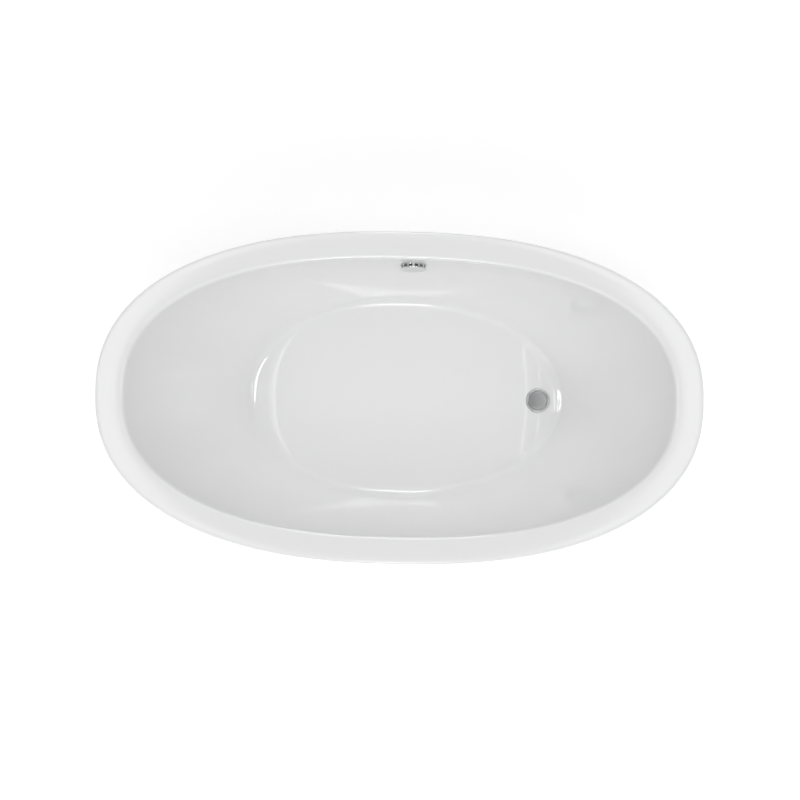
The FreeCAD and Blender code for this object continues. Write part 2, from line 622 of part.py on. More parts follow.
shaped("drain_body", drain_body())
tail_top = "(Size.chamber_bottom + 2)"
tail_neck = "(Size.tailpiece_radius - 0.25)"
spout_radius = "(Size.tailpiece_radius + 3.5)"
spout_bottom = "(Size.chamber_bottom - %g)" % SPOUT_LENGTH
at_drain(turned("tailpiece", [
    ("Size.tailpiece_radius - Size.tailpiece_wall", "Size.tailpiece_end"),
    ("Size.tailpiece_radius", "Size.tailpiece_end"), ("Size.tailpiece_radius", spout_bottom + " - 5"),
    (tail_neck, spout_bottom + " - 5"), (tail_neck, tail_top),
    ("Size.tailpiece_radius - Size.tailpiece_wall", tail_top)]))
at_drain(turned("outlet_seal", [
    (tail_neck, spout_bottom + " - 3"), (spout_radius, spout_bottom + " - 3"),
    (spout_radius, spout_bottom), (tail_neck, spout_bottom)]))
at_drain(turned("outlet_nut", [
    ("Size.tailpiece_radius + 0.4", spout_bottom + " - 5"), (spout_radius + " + 4", spout_bottom + " - 5"),
    (spout_radius + " + 4", spout_bottom + " + 11"), (spout_radius, spout_bottom + " + 11"),
    (spout_radius, spout_bottom + " - 3"), ("Size.tailpiece_radius + 0.4", spout_bottom + " - 3")]))

# Stopper and its push cartridge
CAP_UNDER = "(%s - 2.5)" % FLANGE_TOP
CAP_TOP = "(%s + Size.stopper_thickness)" % CAP_UNDER
CARTRIDGE_TOP = "(%s + 2)" % SPIDER_TOP
CARTRIDGE_BOTTOM = "(%s - 26)" % SPIDER_TOP
CARTRIDGE_FLOOR = "(%s + 2)" % CARTRIDGE_BOTTOM
STEM_BOTTOM = "(%s - 16)" % SPIDER_TOP
STEM_BORE = "(Size.stem_radius + 0.05)"

at_drain(turned("click_cartridge", [
    ("0", CARTRIDGE_BOTTOM), ("Size.cartridge_radius", CARTRIDGE_BOTTOM),
    ("Size.cartridge_radius", SPIDER_TOP), ("Size.hub_radius", SPIDER_TOP),
    ("Size.hub_radius", CARTRIDGE_TOP), (STEM_BORE, CARTRIDGE_TOP),
    (STEM_BORE, CARTRIDGE_FLOOR), ("0", CARTRIDGE_FLOOR)]))
at_drain(turned("stopper_stem", [
    ("0", STEM_BOTTOM), ("Size.stem_radius", STEM_BOTTOM), ("Size.stem_radius", CAP_UNDER),
    ("0", CAP_UNDER)]))
at_drain(turned("stopper_cap", [
    ("0", CAP_UNDER), ("Size.stopper_radius - 1.5", CAP_UNDER), ("Size.stopper_radius", CAP_UNDER + " + 1.5"),
    ("Size.stopper_radius", CAP_TOP + " - 1.2"), ("Size.stopper_radius - 1.2", CAP_TOP + " - 0.3"),
    ("Size.stopper_radius / 2", CAP_TOP), ("0", CAP_TOP)]))
at_drain(turned("stopper_seal", [
    ("Size.stem_radius", CAP_UNDER + " - 5"), ("Size.stopper_radius - 4.6", CAP_UNDER + " - 5"),
    ("Size.stopper_radius - 2.8", CAP_UNDER + " - 3"), ("Size.stopper_radius - 2.8", CAP_UNDER),
    ("Size.stem_radius", CAP_UNDER)]))


def click_spring():
    """Compression spring under the stem, inside the cartridge."""
    wire, coil, turns = 0.6, size("Size.stem_radius") - 0.8, 4
    low, high = size(CARTRIDGE_FLOOR) + wire, size(STEM_BOTTOM) - wire
    helix = Part.makeHelix((high - low) / turns, high - low, coil)
    section = Part.Wire([Part.Circle(Vector(coil, 0, 0), Vector(0, 1, 0), wire).toShape()])
    spring = Part.Wire(helix.Edges).makePipeShell([section], True, True)
    spring.translate(Vector(size("Size.drain_x"), 0, low))
    return spring


shaped("click_spring", click_spring())

# --------------------------------------------------------------------------- overflow

WINDOWS = 14
CAP_BASE = -SEAT_SINK + size("Size.seal_thickness")  # the cap's foot, on its seal
GASKET_BACK = WALL_BACK - size("Size.gasket_thickness")
BOSS_FOOT = 4  # where the cap's screw boss starts


def ring(outer, inner, low, high):
    return Part.makeCylinder(outer, high - low, Vector(0, 0, low)).cut(
        Part.makeCylinder(inner, high - low, Vector(0, 0, low)))


def overflow_cap():
    """Round chromed cover: a face on a rim that is pierced by windows all round."""
    radius, wall = size("Size.overflow_radius"), size("Size.overflow_wall")
    front = size("Size.overflow_stand")
    under = front - size("Size.overflow_face")
    width, height = size("Size.window_width"), size("Size.window_height")
    cap = ring(radius, radius - wall, CAP_BASE, under)
    for i in range(WINDOWS):
        window = Part.makeBox(3 * wall, width, height, Vector(radius - 2 * wall, -width / 2, under - height))
        window.rotate(Vector(), Vector(0, 0, 1), 360.0 * (i + 0.5) / WINDOWS + 90)
        cap = cap.cut(window)
    face = Part.makeCylinder(radius, front - under, Vector(0, 0, under))
    rim_edge = [e for e in face.Edges if abs(e.BoundBox.ZMin - front) < 1e-6 and e.Closed]
    face = face.makeFillet(2.0, rim_edge)
    boss = Part.makeCylinder(7, under - BOSS_FOOT, Vector(0, 0, BOSS_FOOT))
    screw_bore = Part.makeCylinder(size("Size.screw_radius"), under - BOSS_FOOT - 2, Vector(0, 0, BOSS_FOOT))
    return cap.fuse([face, boss]).cut(screw_bore).removeSplitter()


def overflow_insert():
    """Threaded insert: a flange inside the well, a barrel through the wall, and a cross bar."""
    radius = size("Size.overflow_hole") - 1
    bore = size("Size.insert_bore")
    flange = ring(size("Size.overflow_radius - Size.overflow_wall") - 0.6, bore, CAP_BASE, 3)
    barrel = ring(radius, bore, -26, CAP_BASE)
    cross_bar = Part.makeBox(2 * bore + 2, 10, 3, Vector(-bore - 1, -5, BOSS_FOOT - 3))
    hole = Part.makeCylinder(size("Size.screw_radius"), 10, Vector(0, 0, -2))
    return flange.fuse([barrel, cross_bar]).cut(hole).removeSplitter()


def overflow_screw():
    """The screw behind the cross bar that draws the cap home."""
    radius = size("Size.screw_radius")
    bar_back = BOSS_FOOT - 3
    head = Part.makeCylinder(radius + 2, SCREW_HEAD, Vector(0, 0, bar_back - SCREW_HEAD))
    shank = Part.makeCylinder(radius, 6.2, Vector(0, 0, bar_back))
    return head.fuse(shank).removeSplitter()


def spigot_axis_y():
    """The Y of the elbow's upright spigot, half way along the elbow's body."""
    middle = along_overflow(Part.Vertex(0, 0, -size("Size.elbow_depth") / 2 - 12))
    return middle.Vertexes[0].Y


SPIGOT_Y = spigot_axis_y()
SPIGOT_LOW = size("Size.spigot_low")


def overflow_elbow():
    """Plastic elbow behind the wall: a flange, a closed cup and a spigot that points down."""
    radius, depth = size("Size.elbow_radius"), size("Size.elbow_depth")
    pipe = size("Size.spigot_radius")
    barrel = size("Size.overflow_hole") - 1
    flange = Part.makeCylinder(size("Size.overflow_gasket"), 4, Vector(0, 0, GASKET_BACK - 4))
    cup = Part.makeCylinder(radius, depth, Vector(0, 0, GASKET_BACK - depth))
    back = GASKET_BACK - depth + size("Size.spigot_wall")
    hollow = Part.makeCylinder(barrel, GASKET_BACK - back, Vector(0, 0, back))
    outer = along_overflow(flange.fuse(cup))
    spigot = Part.makeCylinder(pipe, OVERFLOW_Z - SPIGOT_LOW, Vector(OVERFLOW_X, SPIGOT_Y, SPIGOT_LOW))
    throat = Part.makeCylinder(size("Size.spigot_radius - Size.spigot_wall"), OVERFLOW_Z - SPIGOT_LOW + 2,
                               Vector(OVERFLOW_X, SPIGOT_Y, SPIGOT_LOW - 1))
    return outer.fuse(spigot).cut(along_overflow(hollow)).cut(throat).removeSplitter()


shaped("overflow_cap", along_overflow(overflow_cap()))
shaped("overflow_insert", along_overflow(overflow_insert()))
shaped("overflow_screw", along_overflow(overflow_screw()))
shaped("overflow_seal", along_overflow(ring(size("Size.overflow_radius"), size("Size.overflow_hole"),
                                            -SEAT_SINK, CAP_BASE)))
shaped("overflow_gasket", along_overflow(ring(size("Size.overflow_gasket"), size("Size.overflow_hole"),
                                              GASKET_BACK, WALL_BACK)))
shaped("overflow_elbow", overflow_elbow())

# --------------------------------------------------------------------------- overflow hose

inlet_mouth = along_inlet(Part.Vertex(INLET_REACH, 0, 0)).Vertexes[0].Point
inlet_away = Rotation(Vector(0, 0, 1), INLET_TURN).multVec(Vector(1, 0, 0))
HOSE_ROUTE = [
    Vector(OVERFLOW_X, SPIGOT_Y, SPIGOT_LOW), Vector(OVERFLOW_X, SPIGOT_Y, 418),
    Vector(34, 396, 360), Vector(38, 377, 292), Vector(46, 357, 226), Vector(60, 338, 170),
    Vector(92, 312, 122), Vector(142, 272, 96), Vector(196, 228, 84), Vector(250, 178, 79),
    Vector(304, 128, 77), inlet_mouth + inlet_away * 42, inlet_mouth,
]


def route_wire(points):
    """Straight runs joined by tangent arcs, each as large as its two runs allow."""
    edges, start = [], points[0]
    radii = []
    for before, corner, after in zip(points, points[1:], points[2:]):
        arriving, leaving = corner - before, after - corner
        shorter = min(arriving.Length, leaving.Length)
        turn = arriving.getAngle(leaving)
        trim = 0.45 * shorter
        radii.append(trim / math.tan(turn / 2))
        arc_start = corner - arriving.normalize() * trim
        arc_end = corner + leaving.normalize() * trim
        bisector = (leaving - arriving).normalize()
        middle = corner + bisector * (radii[-1] / math.cos(turn / 2) - radii[-1])
        edges.append(Part.LineSegment(start, arc_start).toShape())
        edges.append(Part.Arc(arc_start, middle, arc_end).toShape())
        start = arc_end
    edges.append(Part.LineSegment(start, points[-1]).toShape())
    print("hose radii", [round(radius) for radius in radii])
    return Part.Wire(edges)


def swept(radius, path):
    first = path.Edges[0]
    direction = first.tangentAt(first.FirstParameter)
    circle = Part.Circle(first.valueAt(first.FirstParameter), direction, radius)
    return path.makePipeShell([Part.Wire([circle.toShape()])], True, True)


def overflow_hose():
    """Hose from the overflow elbow down between the shells to the chamber's side inlet."""
    path = route_wire(HOSE_ROUTE)
    outer, bore = size("Size.hose_radius"), size("Size.hose_bore")
    hose = swept(outer, path).cut(swept(bore, path))
    ideal = math.pi * (outer ** 2 - bore ** 2) * path.Length
    print("hose length %.0f, volume over ideal %.4f" % (path.Length, hose.Volume / ideal))
    return hose


SEAL_DEPTH = 2  # of the ring between a spigot and its nut


def hose_nut(mouth, away):
    """A coupling nut that holds the hose's end against a spigot. Away points along the hose."""
    pipe, hose = size("Size.spigot_radius"), size("Size.hose_radius")
    length, grip = size("Size.hose_nut_length"), size("Size.hose_nut_grip")
    start = mouth - away * grip
    outer = Part.makeCylinder(pipe + 4, length, start, away)
    seat = Part.makeCylinder(pipe, grip + SEAL_DEPTH, start, away)
    opening = Part.makeCylinder(hose + 0.4, length + 1, start, away)
    return outer.cut(seat).cut(opening)


def hose_seal(mouth, away):
    """The rubber ring between a spigot's end and its coupling nut."""
    pipe, hose = size("Size.spigot_radius"), size("Size.hose_radius")
    outer = Part.makeCylinder(pipe, SEAL_DEPTH, mouth, away)
    return outer.cut(Part.makeCylinder(hose, SEAL_DEPTH, mouth, away))


shaped("overflow_hose", overflow_hose())
down = Vector(0, 0, -1)
shaped("hose_nut_upper", hose_nut(HOSE_ROUTE[0], down))
shaped("hose_nut_lower", hose_nut(inlet_mouth, inlet_away))
shaped("hose_seal_upper", hose_seal(HOSE_ROUTE[0], down))
shaped("hose_seal_lower", hose_seal(inlet_mouth, inlet_away))

# --------------------------------------------------------------------------- checks and files

doc.recompute()
for item in doc.Objects:
    if "Invalid" in item.State or "Error" in item.State:
        raise RuntimeError("%s failed: %s" % (item.Label, item.State))
for item in subparts:
    if item.Shape.isNull() or not item.Shape.isValid() or not item.Shape.Solids:
        raise RuntimeError("%s has no valid solid" % item.Label)
for item in subparts:
    item.Shape.exportStep("parts/%s.step" % item.Label)
print("%d sub-parts written" % len(subparts))
print("overflow y %.2f, lean %.2f degrees, spigot y %.2f" % (OVERFLOW_Y, OVERFLOW_LEAN, SPIGOT_Y))
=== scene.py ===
"""Oval freestanding bathtub: finished shells, fittings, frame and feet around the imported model."""

import math

import bmesh
import bpy
import numpy as np
from mathutils import Matrix, Vector


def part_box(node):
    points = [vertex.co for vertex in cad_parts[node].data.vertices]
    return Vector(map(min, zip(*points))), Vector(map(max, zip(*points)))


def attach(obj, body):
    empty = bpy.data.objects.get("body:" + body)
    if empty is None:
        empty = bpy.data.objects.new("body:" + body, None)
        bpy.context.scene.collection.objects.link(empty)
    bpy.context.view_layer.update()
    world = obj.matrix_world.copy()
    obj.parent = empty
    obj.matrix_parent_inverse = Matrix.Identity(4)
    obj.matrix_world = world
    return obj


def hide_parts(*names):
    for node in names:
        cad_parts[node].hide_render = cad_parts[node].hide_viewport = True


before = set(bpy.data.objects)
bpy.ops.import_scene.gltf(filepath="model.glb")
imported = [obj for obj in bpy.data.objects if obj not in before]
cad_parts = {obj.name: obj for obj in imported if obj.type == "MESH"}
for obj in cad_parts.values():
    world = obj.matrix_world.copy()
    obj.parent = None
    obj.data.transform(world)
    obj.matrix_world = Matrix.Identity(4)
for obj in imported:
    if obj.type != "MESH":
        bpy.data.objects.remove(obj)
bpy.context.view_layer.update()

bl_info = {
    "name": "Freestanding Bathtub",
    "version": (1, 0, 0),
    "blender": (4, 5, 0),
    "location": "View3D > Sidebar > Bathtub",
    "description": "Builds the finished surfaces of an oval freestanding bathtub",
    "category": "Object",
}

MM = 0.001
WELD = 2e-6
BLACK = (0.030, 0.030, 0.032, 1.0)
SECTION_POINTS = 256
FEET = range(1, 6)
COVER_FOOT, COVER_FRONT, COVER_RADIUS = -0.2, 13.0, 35.5
BASIN_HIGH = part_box("basin")[1]
SKIRT_LOW, SKIRT_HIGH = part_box("skirt")


# --------------------------------------------------------------------------- settings


class TubShellSettings(bpy.types.PropertyGroup):
    """Sizes of the two shells."""

    rim_width: bpy.props.FloatProperty(
        name="Rim width", description="Width of the flat rim", default=0.076, unit="LENGTH")
    rim_shape: bpy.props.FloatProperty(
        name="Rim shape", description="Squareness of the outer oval", default=2.33)
    opening_shape: bpy.props.FloatProperty(
        name="Opening shape", description="Squareness of the opening's oval", default=2.36)
    lip_drop: bpy.props.FloatProperty(
        name="Lip drop", description="Height of the turned-down lip", default=0.040, unit="LENGTH")
    lip_wall: bpy.props.FloatProperty(
        name="Lip wall", description="Thickness of the rim and its lip", default=0.006, unit="LENGTH")
    floor_level: bpy.props.FloatProperty(
        name="Floor level", description="Height of the bathing floor", default=0.160, unit="LENGTH")
    crease_rise: bpy.props.FloatProperty(
        name="Crease rise", description="Height of the crease above the floor", default=0.020, unit="LENGTH")
    sump_depth: bpy.props.FloatProperty(
        name="Sump depth", description="Fall of the floor at the drain end", default=0.007, unit="LENGTH")
    colour: bpy.props.FloatVectorProperty(
        name="Acrylic", description="Colour of the polished acrylic", subtype="COLOR", size=4,
        default=(0.935, 0.94, 0.936, 1.0), min=0.0, max=1.0)


class TubFittingSettings(bpy.types.PropertyGroup):
    """Finishes of the fittings."""

    chrome: bpy.props.FloatVectorProperty(
        name="Chrome", description="Colour of the polished chrome", subtype="COLOR", size=4,
        default=(0.72, 0.73, 0.735, 1.0), min=0.0, max=1.0)
    overflow_lean: bpy.props.FloatProperty(
        name="Overflow lean", description="How far the overflow tips back with the wall",
        default=math.radians(9.25), unit="ROTATION")
    windows: bpy.props.IntProperty(
        name="Windows", description="Number of windows round the overflow cover", default=14)


class TubStageSettings(bpy.types.PropertyGroup):
    """Floor, light and camera."""

    camera_height: bpy.props.FloatProperty(
        name="Camera height", description="Height of the camera above the floor", default=6.0, unit="LENGTH")
    camera_lens: bpy.props.FloatProperty(
        name="Lens", description="Focal length in millimetres", default=88.6)
    camera_roll: bpy.props.FloatProperty(
        name="Roll", description="Turn of the camera about its view", default=math.radians(1.1),
        unit="ROTATION")
    sky_even: bpy.props.FloatProperty(
        name="Even sky", description="Light that comes equally from all round", default=0.355)
    overhead: bpy.props.FloatProperty(
        name="Overhead panel", description="Strength of the round panel over the tub", default=1.9)
    sky_lean_y: bpy.props.FloatProperty(
        name="Lean across", description="How much more light comes from +Y than from -Y", default=-0.4)
    side_panels: bpy.props.FloatProperty(
        name="Side panels", description="Strength of the two broad panels beside the tub", default=0.92)
    side_strips: bpy.props.FloatProperty(
        name="Side strips", description="Strength of the narrow strips in the side panels", default=8.0)
    end_strips: bpy.props.FloatProperty(
        name="End strips", description="Strength of the narrow strips beyond the tub's ends", default=16.0)
    spot: bpy.props.FloatProperty(
        name="Camera shadow", description="How much light the camera's own rig keeps out", default=0.895)
    floor_glow: bpy.props.FloatProperty(
        name="Floor glow", description="Light of the back-lit floor", default=0.28)


# --------------------------------------------------------------------------- ovals and outlines


def blend(start, end, share):
    return start + (end - start) * share


def smooth_step(value):
    value = np.clip(value, 0.0, 1.0)
    return value * value * (3.0 - 2.0 * value)


def oval(count, z, left, right, half_width, shape_left, shape_right, shift):
    """Points of a closed superellipse whose two ends may differ."""
    angle = 2.0 * math.pi * np.arange(count) / count
    along, across = np.cos(angle), np.sin(angle)
    power = np.where(along > 0.0, shape_right, shape_left)
    reach = np.where(along > 0.0, right, left)
    stretch = (np.abs(along) ** power + np.abs(across) ** power) ** (-1.0 / power)
    return np.stack([shift + reach * along * stretch, half_width * across * stretch,
                     np.full(count, z)], axis=1)


def circle(count, radius, z):
    return oval(count, z, radius, radius, radius, 2.0, 2.0, 0.0)


class Well:
    """The bathing well's ovals, from the opening down to the crease and the floor."""

    shift = 0.030
    crease_left, crease_right, crease_half_width = 0.445, 0.501, 0.295
    crease_shape_left, crease_shape_right = 2.3, 1.95
    floor_left, floor_right, floor_half_width = 0.341, 0.480, 0.272
    floor_shape_left, floor_shape_right = 3.1, 2.1
    sump_edge, sump_run, sump_bow = 0.373, 0.045, 0.960

    def __init__(self, settings, count):
        self.settings = settings
        self.count = count
        self.top = BASIN_HIGH[2]
        self.crease = settings.floor_level + settings.crease_rise
        self.half_length = BASIN_HIGH[0]
        self.half_width = BASIN_HIGH[1]

    def rim(self, z, inset):
        power = self.settings.rim_shape
        reach = self.half_length - inset
        return oval(self.count, z, reach, reach, self.half_width - inset, power, power, 0.0)

    def wall(self, depth, end_wall=0.0, side_wall=0.0):
        """The wall's section at a share of the depth; with thicknesses, its outer face."""
        share = 0.6 * depth + 0.4 * depth ** 2
        opening = self.half_length - self.settings.rim_width
        half_opening = self.half_width - self.settings.rim_width
        return oval(
            self.count, blend(self.top, self.crease, depth),
            blend(opening, self.crease_left + self.shift, share) + end_wall,
            blend(opening, self.crease_right - self.shift, share) + end_wall,
            blend(half_opening, self.crease_half_width, share) + side_wall,
            blend(self.settings.opening_shape, self.crease_shape_left, share),
            blend(self.settings.opening_shape, self.crease_shape_right, share),
            self.shift * share)

    def floor(self, z, grow, share=1.0):
        """The floor's outline, or a smaller one round the same centre."""
        full = oval(self.count, z, self.floor_left + self.shift + grow,
                    self.floor_right - self.shift + grow, self.floor_half_width + grow,
                    self.floor_shape_left, self.floor_shape_right, self.shift)
        centre = np.array([self.shift, 0.0, z])
        return centre + (full - centre) * share

    def dish(self, share):
        """The dished floor's rise from its flat (share 0) to the crease (share 1)."""
        flat = self.floor(self.settings.floor_level, 0.0)
        crease = self.wall(1.0)
        points = flat + (crease - flat) * share
        run = np.linalg.norm((crease - flat)[:, :2], axis=1)
        above = self.wall(0.98)
        steep = (above[:, 2] - crease[:, 2]) / np.linalg.norm((above - crease)[:, :2], axis=1)
        power = np.clip(steep * run / self.settings.crease_rise, 1.1, 2.0)
        points[:, 2] = self.settings.floor_level + self.settings.crease_rise * share ** power
        return points

    def sump_drop(self, points):
        """How far each point of the floor lies below the floor's level."""
        axis = self.sump_edge - self.sump_bow
        beyond = np.hypot(points[:, 0] - axis, points[:, 1]) - self.sump_bow
        edge = self.floor(0.0, -0.004)
        reach = np.linalg.norm((points - edge)[:, :2], axis=1)
        inside = np.linalg.norm((points[:, :2] - [self.shift, 0.0]), axis=1) < np.linalg.norm(
            (edge[:, :2] - [self.shift, 0.0]), axis=1)
        kept = smooth_step(reach / 0.026) * inside
        return self.settings.sump_depth * smooth_step(beyond / self.sump_run) * kept


def rounded(profile, windows, stations):
    """Points of a poly-line at the stations, with each corner averaged over its own window.

    profile is an array (points, 3). windows gives the half-length of the average at each point.
    stations are positions along the profile in units of its points, such as 2.25.
    """
    steps = np.linalg.norm(np.diff(profile, axis=0), axis=1)
    length = np.concatenate([[0.0], np.cumsum(steps)])
    middle = 0.5 * (profile[1:] + profile[:-1]) * steps[:, None]
    area = np.concatenate([np.zeros((1, 3)), np.cumsum(middle, axis=0)])

    def integral(at):
        at_clamped = np.clip(at, 0.0, length[-1])
        index = np.clip(np.searchsorted(length, at_clamped, side="right") - 1, 0, len(steps) - 1)
        past = at_clamped - length[index]
        slope = (profile[index + 1] - profile[index]) / np.maximum(steps[index], 1e-12)[:, None]
        return area[index] + profile[index] * past[:, None] + 0.5 * slope * (past ** 2)[:, None]

    knots = np.arange(len(profile))
    where = np.interp(stations, knots, length)
    width = np.interp(stations, knots, windows)
    width = np.minimum(width, np.minimum(where, length[-1] - where))
    plain = np.stack([np.interp(where, length, profile[:, k]) for k in range(3)], axis=1)
    wide = np.maximum(width, 1e-9)
    mean = (integral(where + wide) - integral(where - wide)) / (2.0 * wide)[:, None]
    return np.where((width > 1e-6)[:, None], mean, plain)


class Outline:
    """A profile that is carried round a piece: corners with softness, and stations between them.

    Each stretch is a list of rings, and the corner at its end is softened over its softness.
    """

    def __init__(self):
        self.rings = []
        self.windows = []
        self.stations = []

    def add(self, ring, softness=0.0):
        self.rings.append(np.asarray(ring))
        self.windows.append(softness)
        return self

    def settle(self, spacing, per_corner=5):
        """Chooses the rings' places: close together round soft corners, and wider between them."""
        rings = np.stack(self.rings)
        lengths = np.linalg.norm(np.diff(rings, axis=0), axis=2)
        longest = lengths.max(axis=1)
        usual = np.maximum(lengths.mean(axis=1), 1e-9)
        stations = [0.0]
        for k, reach in enumerate(longest):
            start = min(0.5, 1.15 * self.windows[k] / usual[k])
            end = max(0.5, 1.0 - 1.15 * self.windows[k + 1] / usual[k])
            if start > 0.0:
                stations += list(k + start * np.arange(1, per_corner + 1) / per_corner)
            inner = max(1, round((end - start) * reach / spacing))
            stations += list(k + start + (end - start) * np.arange(1, inner + 1) / inner)
            if end < 1.0:
                stations += list(k + end + (1.0 - end) * np.arange(1, per_corner + 1) / per_corner)
        self.stations = np.unique(np.round(stations, 6))
        return self

    def surface(self):
        """Array (stations, points round, 3)."""
        rings = np.stack(self.rings)
        windows = np.array(self.windows)
        columns = [rounded(rings[:, i], windows, self.stations) for i in range(rings.shape[1])]
        return np.stack(columns, axis=1)


# --------------------------------------------------------------------------- modelling


def fresh_start():
    """Leaves edit mode with nothing selected."""
    if bpy.context.mode != "OBJECT":
        bpy.ops.object.mode_set(mode="OBJECT")
    bpy.ops.object.select_all(action="DESELECT")


def only(piece):
    """Selects one object and makes it active."""
    fresh_start()
    piece.select_set(True)
    bpy.context.view_layer.objects.active = piece


def named(piece, name):
    piece.name = name
    piece.data.name = name
    return piece


def sealed(piece):
    """Closes the seams and poles of a piece in edit mode, and turns its faces outwards."""
    bpy.ops.mesh.select_all(action="SELECT")
    bpy.ops.mesh.remove_doubles(threshold=WELD)
    bpy.ops.mesh.normals_make_consistent(inside=False)
    bpy.ops.object.mode_set(mode="OBJECT")
    return piece


def wrapped(name, surface):
    """Adds a grid and wraps it onto a surface of rings, closing its seam and its poles.

    surface is an array (rings, points round, 3). A ring whose points all meet closes a pole.
    """
    rings, around = surface.shape[:2]
    fresh_start()
    bpy.ops.mesh.primitive_grid_add(x_subdivisions=around, y_subdivisions=rings - 1, size=2.0)
    piece = named(bpy.context.active_object, name)
    flat = np.empty(len(piece.data.vertices) * 3)
    piece.data.vertices.foreach_get("co", flat)
    flat = flat.reshape(-1, 3)
    column = np.rint((flat[:, 0] + 1.0) / 2.0 * around).astype(int) % around
    row = np.rint((flat[:, 1] + 1.0) / 2.0 * (rings - 1)).astype(int)
    piece.data.vertices.foreach_set("co", surface[row, column].ravel())
    bpy.ops.object.mode_set(mode="EDIT")
    return sealed(piece)


def settled_profile(corners, spacing):
    """Points (radius, 0, height) of a softened outline, in metres."""
    outline = Outline()
    for radius, height, softness in corners:
        outline.add(np.array([[radius * MM, 0.0, height * MM]]), softness * MM)
    return outline.settle(spacing, per_corner=3).surface()[:, 0]


def turned(name, corners, count=96, spacing=0.004):
    """A turned piece from (radius, height, softness) corners in millimetres, about its own axis.

    A circle is shaped into the section and spun. The section starts and ends on the axis where
    the first radius is zero, and runs back to its first corner otherwise.
    """
    on_axis = corners[0][0] == 0
    profile = settled_profile(corners if on_axis else list(corners) + [corners[0]], spacing)
    if not on_axis:
        profile = profile[:-1]
    fresh_start()
    bpy.ops.mesh.primitive_circle_add(vertices=len(profile), radius=1.0)
    piece = named(bpy.context.active_object, name)
    for edge_vertex, point in zip(ring_order(piece), profile):
        piece.data.vertices[edge_vertex].co = point
    bpy.ops.object.mode_set(mode="EDIT")
    if on_axis:
        drop_axis_edge(piece)
    bpy.ops.mesh.select_all(action="SELECT")
    bpy.ops.mesh.spin(steps=count, angle=2.0 * math.pi, center=(0.0, 0.0, 0.0), axis=(0.0, 0.0, 1.0))
    return sealed(piece)


def ring_order(piece):
    """The indices of a circle's vertices in order round it."""
    verts = piece.data.vertices
    return sorted(range(len(verts)), key=lambda i: math.atan2(verts[i].co.y, verts[i].co.x))


def drop_axis_edge(piece):
    """Deletes the edge that runs along the axis, so that the spun section stays open there."""
    bpy.ops.mesh.select_mode(type="EDGE")
    bpy.ops.mesh.select_all(action="DESELECT")
    mesh = bmesh.from_edit_mesh(piece.data)
    for edge in mesh.edges:
        edge.select = all(abs(vert.co.x) < 1e-7 for vert in edge.verts)
    bmesh.update_edit_mesh(piece.data)
    bpy.ops.mesh.delete(type="EDGE_FACE")
    bpy.ops.mesh.select_mode(type="VERT")


def closed_loop(outline, spacing, per_corner=4):
    """The surface of an outline that ends where it began."""
    surface = outline.settle(spacing, per_corner).surface()
    surface[-1] = surface[0]
    return surface


def joined(name, *pieces):
    """Joins pieces into one, which keeps the first one's materials."""
    only(pieces[0])
    for piece in pieces[1:]:
        piece.select_set(True)
    bpy.ops.object.join()
    return named(bpy.context.active_object, name)


def bar(name, low, high, edge):
    """A bevelled bar between two corners, in metres."""
    low, high = Vector(low), Vector(high)
    fresh_start()
    bpy.ops.mesh.primitive_cube_add(size=1.0, location=(low + high) / 2.0)
    piece = named(bpy.context.active_object, name)
    piece.scale = high - low
    bpy.ops.object.transform_apply(location=True, rotation=True, scale=True)
    return apply_modifier(piece, "BEVEL", width=edge, segments=3, limit_method="ANGLE")


def copies(piece, name, places):
    """Copies of a piece, each with its own mesh, joined into one."""
    made = []
    for spot in places:
        twin = piece.copy()
        twin.data = piece.data.copy()
        bpy.context.collection.objects.link(twin)
        made.append(place(twin, spot))
    bpy.data.objects.remove(piece, do_unlink=True)
    return joined(name, *made)


def place(piece, matrix):
    """Moves a piece to its place and leaves its object at the origin."""
    only(piece)
    piece.matrix_world = matrix @ piece.matrix_world
    bpy.ops.object.transform_apply(location=True, rotation=True, scale=True)
    return piece


def smooth(piece, angle=35.0):
    only(piece)
    bpy.ops.object.shade_smooth_by_angle(angle=math.radians(angle))
    return piece


def apply_modifier(piece, kind, **settings):
    only(piece)
    modifier = piece.modifiers.new(kind.title(), kind)
    for key, value in settings.items():
        setattr(modifier, key, value)
    bpy.ops.object.modifier_apply(modifier=modifier.name)
    return piece


def carve(piece, *tools):
    """Cuts tools out of a piece and removes them."""
    for tool in tools:
        apply_modifier(piece, "BOOLEAN", operation="DIFFERENCE", object=tool, solver="EXACT")
        bpy.data.objects.remove(tool, do_unlink=True)
    return piece


def wear(piece, *materials):
    """Gives a piece its materials."""
    piece.data.materials.clear()
    for material in materials:
        piece.data.materials.append(material)
    return piece


def finished(piece, angle, material, body, slot, *nodes):
    """Smooths a piece, gives it its material and says what it stands for."""
    return stand_for(wear(smooth(piece, angle), material), body, slot, *nodes)


def stand_for(piece, body, slot, *nodes):
    """Says which body a piece rides on and hides the nodes that it replaces; slot is not used."""
    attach(piece, body)
    if nodes:
        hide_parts(*nodes)
    return piece


# --------------------------------------------------------------------------- shader maths


